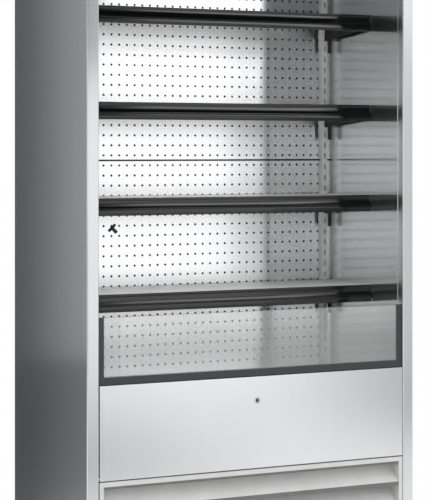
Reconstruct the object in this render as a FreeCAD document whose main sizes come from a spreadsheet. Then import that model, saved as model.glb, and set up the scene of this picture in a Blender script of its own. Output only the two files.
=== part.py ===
import FreeCAD, Part
import math
import os
import re

import Sketcher

# Open multideck display fridge: an insulated cabinet with an open front, four shelves on slotted
# uprights, a glass riser, an access panel and a louvred grille over the machine compartment.
# Frame: origin on the floor under the middle of the cabinet, +X to the right of someone who faces
# the open front, front towards -Y, +Z up. Millimetres.

# Driving sizes: word, value, meaning.
SIZES = (
    ("width", 950, "over the side panels"),
    ("depth", 610, "front posts to rear panel"),
    ("height", 1900, "floor to roof"),
    ("skin", 1.2, "outer sheet"),
    ("sheet", 1.0, "inner sheet"),
    ("side_wall", 28, "outer face of a side to its inner liner"),
    ("post_width", 32, "face of a front post"),
    ("post_return", 20, "depth that a post turns back into the opening"),
    ("fold_radius", 3, "outer radius of a folded edge of the side panels"),
    ("guide_gap", 6, "groove between a post and the liner, where the blind runs"),
    ("rear_foam", 50, "insulation behind the duct"),
    ("roof_foam", 48, "insulation over the duct"),
    ("well_foam", 40, "insulation under and before the well"),
    ("well_setback", 28, "post faces to the well's front insulation"),
    ("machine_height", 200, "clear height of the machine compartment"),
    ("deck_height", 512, "floor to the display deck"),
    ("canopy_height", 110, "top of the opening to the roof"),
    ("flange_setback", 73, "post faces to the front flange of the duct"),
    ("clearance", 0.3, "between pieces that move past each other"),
    ("running_fit", 0.05, "radial play of a shaft in its bore"),
    ("foot_height", 60, "floor to the base frame"),
    ("pad_radius", 25, "foot pad"),
    ("pad_thick", 9, "foot pad"),
    ("pad_rounding", 2.25, "upper rim of a foot pad"),
    ("hex_flat", 19, "hexagon of a foot, across flats"),
    ("hex_tall", 13, "hexagon of a foot"),
    ("stud_radius", 6, "threaded stud of a foot"),
    ("stud_length", 88, "stud above the pad"),
    ("frame_height", 40, "base frame member"),
    ("frame_member", 50, "width of a base frame member"),
    ("frame_wall", 2.5, "steel of the base frame"),
    ("frame_setback", 50, "post faces to the base frame"),
    ("floor_plate", 2, "plate on the base frame"),
    ("boss_radius", 12, "bush that takes a foot"),
    ("panel_setback", 438, "post faces to the perforated back panels"),
    ("seam_height", 1126, "floor to the seam of the back panels"),
    ("seam_gap", 2.5, "open joint between the back panels"),
    ("hole_pitch_x", 23.4, "columns of holes"),
    ("hole_pitch_z", 28.4, "rows of holes"),
    ("hole_radius", 2.5, "hole of a back panel"),
    ("lower_margin", 30, "lowest row of holes above the display deck"),
    ("side_margin", 60, "least distance from an outer hole to the liner"),
    ("upright_width", 17, "face of a slotted upright"),
    ("upright_depth", 12, "upright before the back panel"),
    ("upright_wall", 1.5, "steel of an upright"),
    ("upright_inset", 12, "upright to the side liner"),
    ("slot_pitch", 32, "slots of an upright"),
    ("slot_height", 16, "slot"),
    ("slot_width", 4, "slot"),
    ("slot_inset", 7, "middle of the slots to the upright's outer edge"),
    ("slot_drop", 18.5, "shelf top to the middle of the slot that its bracket hooks into"),
    ("slots_per_shelf", 8, "slots from one shelf to the next"),
    ("shelf_height", 771.7, "floor to the lowest shelf"),
    ("shelf_setback", 192, "post faces to the shelf fronts"),
    ("shelf_side_gap", 2, "shelf to the side liner"),
    ("shelf_rear_gap", 8, "shelf deck to the uprights"),
    ("deck_flange", 20, "turned-down edge of a shelf deck"),
    ("strip_height", 47, "ticket strip"),
    ("strip_wall", 2, "extrusion of the ticket strip"),
    ("strip_tab", 3, "tab of the strip before the deck's front edge"),
    ("strip_top_lip", 7, "upper lip of the strip"),
    ("strip_low_lip", 17, "lower lip of the strip"),
    ("strip_step", 2, "label face behind the upper lip"),
    ("strip_slope", 6, "lean of the label face"),
    ("strip_reach", 15, "lower lip before the deck's front edge"),
    ("bracket_wall", 2.5, "bracket plate"),
    ("bracket_front", 43, "bracket below the shelf top at its front"),
    ("bracket_back", 57, "bracket below the shelf top at its back"),
    ("bracket_heel", 61, "rear edge at the upright, below the shelf top"),
    ("bracket_tail", 98, "rear tail below the shelf top"),
    ("tail_width", 18, "rear tail"),
    ("tail_stand", 20, "rear tail before the upright"),
    ("hook_neck", 5, "height of a hook in its slot"),
    ("hook_lip", 8, "drop of a hook behind the upright's face"),
    ("hook_thick", 3, "thickness of a hook behind the face"),
    ("access_bottom", 318, "floor to the access panel"),
    ("access_height", 241.3, "access panel"),
    ("access_depth", 18, "folded edge of the access panel"),
    ("access_fold", 1.5, "outer radius of the access panel's folds"),
    ("seat_gap", 2, "step between neighbouring sheets"),
    ("panel_gap", 3, "joint between the access panel and the grille"),
    ("panel_side_gap", 2, "joint beside the access panel and the grille"),
    ("hinge_radius", 3, "hinge pin of the access panel"),
    ("hinge_inset", 6, "hinge pin to the panel's front and lower faces"),
    ("hinge_reach", 5, "hinge pin beyond the panel's end"),
    ("lock_drop", 63, "top of the access panel to the lock"),
    ("lock_radius", 9.5, "barrel of the lock"),
    ("collar_radius", 12, "collar behind the panel's sheet"),
    ("tongue_length", 30, "lock tongue"),
    ("tongue_width", 12, "lock tongue"),
    ("tongue_thick", 2, "lock tongue"),
    ("keyway_length", 8, "key slot in the barrel"),
    ("keyway_width", 1.6, "key slot in the barrel"),
    ("keyway_depth", 4, "key slot in the barrel"),
    ("keeper_drop", 50, "keeper below the riser frame"),
    ("keeper_width", 30, "keeper"),
    ("riser_gap", 1, "access panel to the riser frame"),
    ("riser_height", 171, "riser frame's bottom to the glass edge"),
    ("riser_setback", 5, "riser frame behind the post faces"),
    ("riser_depth", 10.5, "riser frame"),
    ("riser_side", 14.5, "side strip of the riser frame"),
    ("riser_base", 18, "bottom strip of the riser frame"),
    ("sill_thick", 2, "sill behind the riser frame"),
    ("glass_thick", 6, "riser glass"),
    ("glass_arris", 1, "ground upper edge of the glass"),
    ("glass_seat", 8, "glass inside its frame"),
    ("glass_play", 0.2, "glass to its frame"),
    ("grille_bottom", 64, "floor to the grille"),
    ("grille_depth", 49, "grille"),
    ("grille_side", 11, "side strip of the grille"),
    ("grille_top", 12, "top band of the grille"),
    ("grille_base", 20, "bottom band of the grille"),
    ("slat_pitch", 65.6, "louvre slats"),
    ("slat_drop", 22, "grille top to the first slat's rear edge"),
    ("slat_rise", 46, "rise of a slat from front to rear"),
    ("slat_lip", 11, "upright front lip of a slat"),
    ("slat_wall", 2, "lip of a slat"),
    ("slat_fall", 2.8, "sloping part of a slat, measured upright"),
    ("tab_thick", 5, "tab that rests on the machine floor"),
    ("tab_reach", 25, "tab behind the front of the base frame"),
    ("return_width", 41, "return-air grille"),
    ("return_thick", 1.5, "plate of the return-air grille"),
    ("return_slot_width", 7.8, "slot of the return-air grille"),
    ("return_slot_pitch", 15.6, "slots of the return-air grille"),
    ("return_slot_margin", 8, "slot to the edges of the grille's free width"),
    ("honeycomb_width", 60, "air outlet, front to back"),
    ("honeycomb_height", 20, "air outlet"),
    ("cell_flat", 12, "cell of the honeycomb, across flats"),
    ("cell_wall", 1.4, "wall between cells"),
    ("underside_drop", 4, "canopy underside above the top of the opening"),
    ("cassette_wall", 1.2, "sheet of the blind cassette"),
    ("cassette_drop", 10, "cassette above the top of the opening"),
    ("cassette_height", 50, "blind cassette"),
    ("roll_radius", 21.4, "wound blind"),
    ("core_radius", 16, "tube inside the wound blind"),
    ("tube_radius", 4, "stub shaft of the roller"),
    ("blind_thick", 0.4, "blind fabric"),
    ("blind_side_gap", 18, "fabric to the side liner"),
    ("bar_height", 20, "pull bar"),
    ("bar_thick", 9, "pull bar"),
    ("bar_rounding", 2.25, "corners of the pull bar"),
    ("slider_thick", 4.6, "end slider of the bar in the groove"),
    ("grip_height", 12, "grip under the bar"),
    ("grip_width", 90, "grip under the bar"),
    ("lamp_height", 22, "lamp profile"),
    ("lamp_depth", 12, "lamp profile"),
    ("lamp_rounding", 4, "rear corners of the lamp's profile"),
    ("lamp_side_gap", 15, "lamp to the posts"),
    ("control_x", 298, "middle of the control panel"),
    ("control_width", 140, "control panel"),
    ("control_height", 34, "control panel"),
    ("control_depth", 18, "control panel behind the fascia's face"),
    ("control_drop", 40, "roof to the top of the control panel"),
    ("button_rise", 1, "buttons stand out of the control panel"),
    ("button_size", 9, "button"),
    ("button_gap", 4, "between the buttons"),
    ("button_travel", 0.8, "press of a button"),
    ("button_depth", 6, "button"),
    ("window_width", 40, "display window"),
    ("window_height", 22, "display window"),
    ("rocker_inset", 17, "middle of the lamp switch from the panel's end"),
    ("rocker_width", 14, "lamp switch"),
    ("rocker_height", 22, "lamp switch"),
    ("rocker_depth", 9, "lamp switch"),
    ("rocker_face", 19.4, "height of the lamp switch's key at its face"),
    ("rocker_back", 13.2, "height of the lamp switch's key at its back"),
    ("rocker_rest", 7, "lean of the lamp switch when off, degrees"),
    ("rocker_pin", 1.5, "radius of the lamp switch's pins"),
    ("evap_fan_x", 220, "evaporator fan from the middle"),
    ("evap_fan_radius", 58, "blade tip"),
    ("evap_plate_setback", 235, "post faces to the fan plate"),
    ("tip_gap", 4, "blade tip to its opening"),
    ("fan_hub", 18, "radius of a fan hub"),
    ("fan_depth", 18, "depth of a fan hub"),
    ("blade_thick", 1.6, "fan blade"),
    ("blade_chord", 30, "fan blade"),
    ("blade_root", 12, "start of a blade inside the hub"),
    ("shaft_radius", 3, "fan shaft"),
    ("shaft_length", 22, "fan shaft"),
    ("arm_thick", 3, "arm that holds a fan motor"),
    ("arm_width", 14, "arm that holds a fan motor"),
    ("motor_radius", 33, "fan motor"),
    ("motor_length", 42, "fan motor"),
    ("evap_coil_depth", 96, "evaporator coil"),
    ("evap_coil_height", 140, "evaporator coil"),
    ("evap_coil_gap", 12, "fan motors to the evaporator coil"),
    ("evap_coil_margin", 27, "fins of the evaporator coil to the side liner"),
    ("cond_fan_radius", 78, "blade tip"),
    ("cond_x", -230, "middle of the condenser"),
    ("cond_width", 330, "condenser coil"),
    ("cond_height", 180, "condenser coil"),
    ("cond_depth", 50, "condenser coil"),
    ("cond_setback", 8, "base frame's front to the condenser"),
    ("shroud_depth", 28, "condenser shroud"),
    ("fin_thick", 0.8, "coil fin"),
    ("fin_pitch", 15, "coil fins, drawn coarser than real"),
    ("coil_tube", 4.5, "radius of a coil tube"),
    ("compressor_x", 255, "middle of the compressor"),
    ("compressor_y", 130, "middle of the compressor"),
    ("compressor_radius", 74, "shell of the compressor"),
    ("compressor_rounding", 33.3, "domed rim of the compressor's shell"),
    ("compressor_height", 165, "compressor with its feet"),
    ("compressor_lift", 9, "rubber pads under the compressor's foot plate"),
    ("rubber_radius", 11, "rubber pads under the compressor's foot plate"),
    ("rubber_inset", 15, "middle of a rubber pad to the foot plate's edges"),
    ("foot_plate_length", 190, "foot plate of the compressor"),
    ("foot_plate_width", 110, "foot plate of the compressor"),
    ("foot_plate_thick", 5, "foot plate of the compressor"),
    ("terminal_size", 50, "terminal cover, width and height"),
    ("terminal_depth", 14, "terminal cover before the shell"),
    ("terminal_rise", 70, "floor plate to the terminal cover"),
    ("pipe_bend", 10, "bend of a refrigerant pipe"),
    ("discharge_radius", 4, "discharge pipe"),
    ("discharge_offset", 30, "discharge pipe to the compressor's axis"),
    ("discharge_rise", 22, "discharge pipe above the compressor"),
    ("discharge_reach", 60, "discharge pipe beyond the condenser's tubes"),
    ("suction_radius", 5, "suction pipe"),
    ("suction_offset", 40, "suction pipe to the compressor's axis"),
    ("liquid_radius", 3, "liquid pipe"),
    ("liquid_reach", 30, "liquid pipe beyond the condenser's tubes"),
    ("liquid_setback", 265, "post faces to the upright run of the liquid pipe"),
    ("box_x", 250, "middle of the control box"),
    ("box_width", 180, "control box"),
    ("box_depth", 110, "control box"),
    ("box_height", 150, "control box"),
    ("box_rounding", 4, "upright edges of the control box"),
    ("lid_height", 8, "lid of the control box"),
    ("lid_lap", 2, "lid beyond the control box"),
    ("tray_height", 28, "drip tray"),
    ("tray_depth", 214, "drip tray, front to back"),
    ("tray_setback", 20, "drip tray to the rear panel"),
    ("tray_wall", 1.5, "drip tray"),
    ("tray_corner", 6, "corner radius of the drip tray"),
    ("gland_x", 380, "middle of the cord gland"),
    ("gland_height", 140, "floor to the cord gland"),
    ("gland_radius", 10, "throat of the cord gland"),
    ("gland_nut_radius", 13.5, "nut of the cord gland"),
    ("gland_nut_length", 8, "nut of the cord gland"),
    ("gland_length", 14, "cord gland inside the rear panel"),
    ("gland_bore", 4.5, "radius of the cord gland's bore"),
    ("vent_width", 60, "rear vent slot"),
    ("vent_height", 6, "rear vent slot"),
    ("vent_pitch", 16, "rear vent slots"),
    ("probe_x", -244, "middle of the probe clip"),
    ("probe_height", 936, "floor to the probe clip"),
    ("probe_radius", 3, "temperature probe"),
    ("probe_length", 26, "temperature probe"),
    ("clip_length", 23.4, "clip that crosses the probe"),
    ("clip_width", 9, "clip that crosses the probe"),
    ("clip_start", -3.9, "end of the clip from the probe's middle"),
)

# Places worked out from the sizes: word, formula, meaning.
PLACES = (
    ("half_width", "width / 2", "outer face of a side"),
    ("front_y", "-depth / 2", "face of the posts"),
    ("back_y", "depth / 2", "face of the rear panel"),
    ("post_x", "half_width - post_width", "inner face of a post"),
    ("liner_x", "half_width - side_wall", "inner face of a side liner"),
    ("skin_x", "half_width - skin", "inner face of an outer side sheet"),
    ("guide_y", "front_y + post_return", "rear edge of a post's return"),
    ("liner_front_y", "guide_y + guide_gap", "front edge of a side liner"),
    ("blind_y", "guide_y + guide_gap / 2", "plane of the blind"),
    ("frame_top_z", "foot_height + frame_height", "top of the base frame"),
    ("floor_z", "frame_top_z + floor_plate", "floor of the machine compartment"),
    ("ceiling_z", "frame_top_z + machine_height", "underside of the well"),
    ("well_z", "ceiling_z + well_foam", "under the liner in the well"),
    ("well_front_y", "front_y + well_setback", "front face of the foam before the well"),
    ("well_back_y", "well_front_y + well_foam", "rear face of the foam before the well"),
    ("return_z", "deck_height - return_thick", "underside of the return-air grille"),
    ("rear_skin_y", "back_y - skin", "inner face of the rear panel"),
    ("rear_liner_y", "rear_skin_y - rear_foam", "rear face of the duct's liner"),
    ("roof_skin_z", "height - skin", "underside of the roof sheet"),
    ("duct_top_z", "roof_skin_z - roof_foam", "top face of the duct's liner"),
    ("opening_top_z", "height - canopy_height", "top of the open front"),
    ("underside_z", "opening_top_z + underside_drop", "canopy underside"),
    ("panel_y", "front_y + panel_setback", "front face of the back panels"),
    ("upright_y", "panel_y - upright_depth", "face of the uprights"),
    ("upright_x", "liner_x - upright_inset", "outer edge of an upright"),
    ("bracket_x", "upright_x - slot_inset", "middle of a bracket plate"),
    ("shelf_y", "front_y + shelf_setback", "front edge of a shelf"),
    ("shelf_x", "liner_x - shelf_side_gap", "end of a shelf"),
    ("shelf_pitch", "slot_pitch * slots_per_shelf", "one shelf to the next"),
    ("shelf_back_y", "upright_y - shelf_rear_gap", "rear edge of a shelf"),
    ("access_top_z", "access_bottom + access_height", "top of the access panel"),
    ("access_x", "post_x - panel_side_gap", "end of the access panel"),
    ("access_back_y", "front_y + access_depth", "open back of the access panel"),
    ("hinge_y", "front_y + hinge_inset", "hinge axis of the access panel"),
    ("hinge_z", "access_bottom + hinge_inset", "hinge axis of the access panel"),
    ("lock_z", "access_top_z - lock_drop", "axis of the lock"),
    ("keeper_y", "access_back_y + 2 * clearance", "front face of the keeper"),
    ("tongue_y", "keeper_y + tongue_thick + 2 * clearance", "front face of the tongue"),
    ("riser_z", "access_top_z + riser_gap", "bottom of the riser frame"),
    ("sill_z", "riser_z + riser_base", "top of the riser frame's bottom strip"),
    ("upstand_y", "well_front_y - sheet", "front face of the liner's upstand"),
    ("riser_x", "post_x - 2 * clearance", "outer end of the riser frame"),
    ("riser_y", "front_y + riser_setback", "front face of the riser frame"),
    ("riser_back_y", "riser_y + riser_depth", "rear face of the riser frame"),
    ("glass_y", "riser_y + (riser_depth - glass_thick) / 2", "front face of the glass"),
    ("glass_x", "riser_x - riser_side + glass_seat", "end of the glass"),
    ("glass_z", "riser_z + riser_base - glass_seat", "bottom of the glass"),
    ("glass_top_z", "riser_z + riser_height", "top edge of the glass"),
    ("grille_top_z", "access_bottom - panel_gap", "top of the grille"),
    ("grille_back_y", "front_y + grille_depth", "rear of the grille"),
    ("frame_front_y", "front_y + frame_setback", "front of the base frame"),
    ("return_y", "well_back_y + return_width", "rear edge of the return-air grille"),
    ("flange_y", "front_y + flange_setback", "front of the duct's top liner"),
    ("honeycomb_y", "flange_y + sheet", "front of the honeycomb"),
    ("honeycomb_back_y", "honeycomb_y + honeycomb_width", "rear of the honeycomb"),
    ("cassette_y", "guide_y + clearance", "front of the blind cassette"),
    ("cassette_z", "opening_top_z + cassette_drop", "bottom of the blind cassette"),
    ("roll_y", "blind_y + blind_thick + clearance + roll_radius", "axis of the roller"),
    ("roll_z", "cassette_z + cassette_height / 2", "axis of the roller"),
    ("bar_top_z", "cassette_z - cassette_drop / 2", "top of the pull bar"),
    ("bar_x", "post_x - panel_side_gap", "end of the pull bar"),
    ("blind_x", "liner_x - blind_side_gap", "edge of the fabric"),
    ("lamp_x", "post_x - lamp_side_gap", "end of the lamp"),
    ("control_top_z", "height - control_drop", "top of the control panel"),
    ("control_mid_z", "control_top_z - control_height / 2", "middle of the control panel"),
    ("control_low_x", "control_x - control_width / 2", "left end of the control panel"),
    ("control_high_x", "control_x + control_width / 2", "right end of the control panel"),
    ("control_y", "front_y + button_rise", "face of the control panel"),
    ("rocker_x", "control_low_x + rocker_inset", "middle of the lamp switch"),
    ("rocker_y", "control_y + rocker_depth / 2 + clearance", "axis of the lamp switch"),
    ("plate_y", "front_y + evap_plate_setback", "front face of the fan plate"),
    ("evap_fan_z", "(well_z + deck_height) / 2", "axis of the evaporator fans"),
    ("cond_y", "frame_front_y + cond_setback", "front face of the condenser"),
    ("shroud_y", "cond_y + cond_depth", "front of the condenser shroud"),
    ("shroud_back_y", "shroud_y + shroud_depth", "rear face of the condenser shroud"),
    ("cond_fan_z", "floor_z + cond_height / 2", "axis of the condenser fan"),
)

SHELF_COUNT = 4
HEX_SIDES = 6
GRILLE_SLATS = 3
FAN_BLADES = 5
BLADE_PITCH = math.radians(28)
COIL_LAYERS = 2
EVAPORATOR_LINES = 3
CONDENSER_LINES = 4
VENT_COLUMNS = 8

# Two places closer than this count as one.
NEAR = 0.01
LEFT, RIGHT = -1, 1

doc = FreeCAD.newDocument("display_fridge")


def fill_sheet(name, rows, as_cell):
    """A spreadsheet with one alias a row, its value and its meaning."""
    table = doc.addObject("Spreadsheet::Sheet", name)
    for row, (word, value, meaning) in enumerate(rows, start=1):
        table.set(f"A{row}", word)
        table.set(f"B{row}", as_cell(value))
        table.setAlias(f"B{row}", word)
        table.set(f"C{row}", meaning)
    return table


SIZE_WORDS = {word for word, _, _ in SIZES}
PLACE_WORDS = {word for word, _, _ in PLACES}
WORD = re.compile(r"[a-z][a-z_0-9]*")


def with_sheets(text, place_prefix):
    """The formula with the sheet's name before each word that a sheet holds."""

    def full(match):
        word = match.group()
        if word in SIZE_WORDS:
            return "sizes." + word
        return place_prefix + word if word in PLACE_WORDS else word

    return WORD.sub(full, str(text))


sizes = fill_sheet("sizes", SIZES, str)
places = fill_sheet("places", PLACES, lambda formula: "=" + with_sheets(formula, ""))
doc.recompute()


def fx(text):
    """An expression in sizes and places, as an object of the document reads it."""
    return with_sheets(text, "places.")


def mm(word):
    """The number that a sheet holds for a word, for shapes set in code."""
    return float((sizes if word in SIZE_WORDS else places).get(word))


def at(thing, **base):
    """Ties the place of an object to expressions: at(fan, x=..., z=...)."""
    for axis, text in base.items():
        thing.setExpression("Placement.Base." + axis, fx(text))
    return thing


# Plain blocks, rods and what is cut from or joined to them.
def block(name, x, y, z):
    """Box between a low and a high face along each axis."""
    box = doc.addObject("Part::Box", name)
    for prop, (low, high) in zip(("Length", "Width", "Height"), (x, y, z)):
        box.setExpression(prop, fx(f"({high}) - ({low})"))
    return at(box, x=x[0], y=y[0], z=z[0])


AXIS_TURN = {
    "x": FreeCAD.Rotation(FreeCAD.Vector(0, 1, 0), 90),
    "y": FreeCAD.Rotation(FreeCAD.Vector(1, 0, 0), -90),
    "z": FreeCAD.Rotation(),
}


def rod(name, along, x, y, z, radius, length):
    """Cylinder that starts at a point and runs in the positive direction of one axis."""
    cylinder = doc.addObject("Part::Cylinder", name)
    cylinder.Placement = FreeCAD.Placement(FreeCAD.Vector(), AXIS_TURN[along])
    cylinder.setExpression("Radius", fx(radius))
    cylinder.setExpression("Height", fx(length))
    return at(cylinder, x=x, y=y, z=z)


def fuse(name, *pieces):
    joined = doc.addObject("Part::MultiFuse", name)
    joined.Shapes = list(pieces)
    return joined


def cut(name, base, *tools):
    result = doc.addObject("Part::Cut", name)
    result.Base = base
    result.Tool = tools[0] if len(tools) == 1 else fuse(name + "_cuts", *tools)
    return result


def group(name, *pieces):
    """Separate solids that share one sub-part."""
    result = doc.addObject("Part::Compound", name)
    result.Links = list(pieces)
    return result


def mirrored(name, piece):
    """The same piece on the other side of the cabinet's middle plane."""
    result = doc.addObject("Part::Mirroring", name)
    result.Source = piece
    result.Normal = (1, 0, 0)
    return result


# Bodies made of outlines that are padded and pocketed.
def body(name):
    return doc.addObject("PartDesign::Body", name)


def datum(owner, role):
    return next(item for item in owner.Origin.OriginFeatures if item.Role == role)


def outline(owner, role, offset, polygons=(), circles=()):
    """Closed outlines on one of the body's own planes, each point tied to the sheets."""
    sketch = owner.newObject("Sketcher::SketchObject", owner.Name + "_outline")
    sketch.AttachmentSupport = (datum(owner, role), [""])
    sketch.MapMode = "FlatFace"
    sketch.setExpression("AttachmentOffset.Base.z", fx(offset))

    def tie(kind, text, *where):
        number = sketch.addConstraint(Sketcher.Constraint(kind, *where, 1.0))
        sketch.setExpression(f"Constraints[{number}]", fx(text))

    for points in polygons:
        first = sketch.GeometryCount
        count = len(points)
        turn = 2 * math.pi / count
        ring = [FreeCAD.Vector(math.cos(turn * n), math.sin(turn * n), 0) * 100 for n in range(count)]
        for n in range(count):
            sketch.addGeometry(Part.LineSegment(ring[n], ring[(n + 1) % count]))
        for n in range(count):
            following = first + (n + 1) % count
            sketch.addConstraint(Sketcher.Constraint("Coincident", first + n, 2, following, 1))
        for n, (across, up) in enumerate(points):
            tie("DistanceX", across, -1, 1, first + n, 1)
            tie("DistanceY", up, -1, 1, first + n, 1)
    for across, up, radius in circles:
        number = sketch.addGeometry(Part.Circle(FreeCAD.Vector(), FreeCAD.Vector(0, 0, 1), 5))
        tie("Radius", radius, number)
        tie("DistanceX", across, -1, 1, number, 3)
        tie("DistanceY", up, -1, 1, number, 3)
    return sketch


def rectangle(across, up):
    """Corners of a rectangle between two values across and two values up."""
    return [(across[0], up[0]), (across[1], up[0]), (across[1], up[1]), (across[0], up[1])]


def pad(owner, sketch, length, backwards=False):
    feature = owner.newObject("PartDesign::Pad", owner.Name + "_pad")
    feature.Profile = sketch
    feature.setExpression("Length", fx(length))
    feature.Reversed = backwards
    return feature


def pocket(owner, sketch, length, backwards=False):
    """Cuts against the sketch's normal, or along it when backwards, and checks that it cuts."""
    doc.recompute()
    before = owner.Shape.Volume
    feature = owner.newObject("PartDesign::Pocket", owner.Name + "_pocket")
    feature.Profile = sketch
    feature.setExpression("Length", fx(length))
    feature.Reversed = backwards
    doc.recompute()
    if not owner.Shape.Volume < before:
        raise RuntimeError(owner.Name + ": a pocket cuts nothing")
    return feature


def row(owner, feature, role, step, count):
    """Repeats a feature along one of the body's axes."""
    pattern = owner.newObject("PartDesign::LinearPattern", owner.Name + "_row")
    pattern.Originals = [feature]
    pattern.Direction = (datum(owner, role), [""])
    pattern.setExpression("Length", fx(f"({step}) * {count - 1}"))
    pattern.Occurrences = count
    owner.Tip = pattern
    return pattern


def round_edges(owner, feature, radius, chosen):
    """Rounds the edges of a feature that a test picks out."""
    doc.recompute()
    names = [f"Edge{n}" for n, edge in enumerate(feature.Shape.Edges, start=1) if chosen(edge)]
    fillet = owner.newObject("PartDesign::Fillet", owner.Name + "_fillet")
    fillet.Base = (feature, names)
    fillet.setExpression("Radius", fx(radius))
    return fillet


def runs_along(edge, axis):
    """Whether an edge is a straight line along one axis."""
    if not isinstance(edge.Curve, Part.Line):
        return False
    return abs(getattr(edge.Curve.Direction, axis)) > 0.999


def stands_at(edge, distances, y):
    """Whether an edge is upright, at one of some distances from the cabinet's middle and at one depth."""
    middle = edge.BoundBox.Center
    return runs_along(edge, "z") and abs(middle.y - y) < NEAR and any(
        abs(abs(middle.x) - distance) < NEAR for distance in distances)


def bar_profile(name, points, x):
    """Body with one outline across the cabinet's depth and height, carried along X."""
    owner = body(name)
    pad(owner, outline(owner, "YZ_Plane", x[0], [points]), f"({x[1]}) - ({x[0]})")
    return owner


def plan_profile(name, points, z):
    """Body with one outline in plan, carried up from one height to another."""
    owner = body(name)
    pad(owner, outline(owner, "XY_Plane", z[0], [points]), f"({z[1]}) - ({z[0]})")
    return owner


def coded(name, shape):
    """Sub-part whose shape is set in code from the sheets' numbers."""
    feature = doc.addObject("Part::Feature", name)
    feature.Shape = shape
    return feature


# Cabinet shell.
def side_panel(name, side):
    """Outer side sheet that folds round the front as the post and back into the opening."""
    inner = "post_x + skin"
    points = [
        ("half_width", "front_y"),
        ("half_width", "back_y"),
        ("skin_x", "back_y"),
        ("skin_x", "front_y + skin"),
        (inner, "front_y + skin"),
        (inner, "guide_y"),
        ("post_x", "guide_y"),
        ("post_x", "front_y"),
    ]
    owner = plan_profile(name, [(f"{side} * ({x})", y) for x, y in points], ("foot_height", "roof_skin_z"))
    folds = (mm("half_width"), mm("post_x"))
    outer = round_edges(owner, owner.Tip, "fold_radius", lambda edge: stands_at(edge, folds, mm("front_y")))
    inner_folds = [mm("skin_x"), mm("post_x") + mm("skin")]
    round_edges(owner, outer, "fold_radius - skin",
                lambda edge: stands_at(edge, inner_folds, mm("front_y") + mm("skin")))
    bore = outline(owner, "YZ_Plane", f"{side} * (post_x - skin)", circles=[
        ("hinge_y", "hinge_z", "hinge_radius + running_fit"),
    ])
    pocket(owner, bore, "3 * skin", backwards=side == RIGHT)


def insulation():
    """Foam at each side, and one foam shell under, behind and over the air duct."""
    right = block("foam_right", ("liner_x + sheet", "skin_x"), ("liner_front_y", "rear_skin_y"),
                  ("ceiling_z", "roof_skin_z"))
    shell = bar_profile("foam_shell", [
        ("well_front_y", "access_bottom"),
        ("grille_back_y + seat_gap", "access_bottom"),
        ("grille_back_y + seat_gap", "ceiling_z"),
        ("rear_skin_y", "ceiling_z"),
        ("rear_skin_y", "roof_skin_z"),
        ("flange_y", "roof_skin_z"),
        ("flange_y", "duct_top_z"),
        ("rear_liner_y", "duct_top_z"),
        ("rear_liner_y", "well_z"),
        ("well_back_y", "well_z"),
        ("well_back_y", "return_z - sheet"),
        ("well_front_y", "return_z - sheet"),
    ], ("-liner_x", "liner_x"))
    group("insulation", right, mirrored("foam_left", right), shell)


def inner_liner():
    """Folded sheet round the air duct, from the upstand behind the riser to a flange at the top."""
    bar_profile("inner_liner", [
        ("upstand_y", "sill_z"),
        ("upstand_y", "return_z - sheet"),
        ("well_back_y", "return_z - sheet"),
        ("well_back_y", "well_z"),
        ("rear_liner_y", "well_z"),
        ("rear_liner_y", "duct_top_z"),
        ("flange_y", "duct_top_z"),
        ("flange_y", "opening_top_z"),
        ("honeycomb_y", "opening_top_z"),
        ("honeycomb_y", "duct_top_z - sheet"),
        ("rear_liner_y - sheet", "duct_top_z - sheet"),
        ("rear_liner_y - sheet", "well_z + sheet"),
        ("well_back_y + sheet", "well_z + sheet"),
        ("well_back_y + sheet", "return_z"),
        ("well_front_y", "return_z"),
        ("well_front_y", "sill_z"),
    ], ("-liner_x", "liner_x"))


def side_liners():
    right = block("liner_right", ("liner_x", "liner_x + sheet"), ("liner_front_y", "rear_skin_y"),
                  ("ceiling_z", "roof_skin_z"))
    group("side_liners", right, mirrored("liner_left", right))


def rear_panel():
    """Rear sheet with rows of vents for the machine compartment and the gland's hole."""
    owner = body("rear_panel")
    sheet = outline(owner, "XZ_Plane", "-back_y", [
        rectangle(("-skin_x", "skin_x"), ("foot_height", "roof_skin_z")),
    ])
    pad(owner, sheet, "skin")
    first = f"-(vent_width + vent_pitch) * {(VENT_COLUMNS - 1) / 2} - vent_width / 2"
    lowest = "floor_z + vent_pitch"
    vent = outline(owner, "XZ_Plane", "-back_y", [
        rectangle((first, first + " + vent_width"), (lowest, lowest + " + vent_height")),
    ])
    slot = pocket(owner, vent, "2 * skin", backwards=True)
    pattern = owner.newObject("PartDesign::LinearPattern", "rear_vents")
    pattern.Originals = [slot]
    pattern.Direction = (datum(owner, "X_Axis"), [""])
    pattern.setExpression("Length", fx(f"(vent_width + vent_pitch) * {VENT_COLUMNS - 1}"))
    pattern.Occurrences = VENT_COLUMNS
    pattern.Direction2 = (datum(owner, "Z_Axis"), [""])
    vent_rows = int((mm("machine_height") - 2 * mm("vent_pitch")) // mm("vent_pitch"))
    pattern.setExpression("Length2", fx(f"vent_pitch * {vent_rows - 1}"))
    pattern.Occurrences2 = vent_rows
    owner.Tip = pattern
    gland = outline(owner, "XZ_Plane", "-back_y", circles=[("gland_x", "gland_height", "gland_radius")])
    pocket(owner, gland, "2 * skin", backwards=True)


def canopy_cover():
    """Roof sheet with the front fascia, cut out for the control panel."""
    roof = block("roof_sheet", ("-half_width", "half_width"), ("front_y", "back_y"),
                 ("roof_skin_z", "height"))
    fascia = block("fascia_sheet", ("-post_x", "post_x"), ("front_y", "front_y + skin"),
                   ("opening_top_z", "height"))
    control_hole = block("control_hole", ("control_low_x", "control_high_x"),
                         ("front_y - skin", "front_y + 2 * skin"),
                         ("control_top_z - control_height", "control_top_z"))
    cut("canopy_cover", fuse("canopy_sheets", roof, fascia), control_hole)


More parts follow.
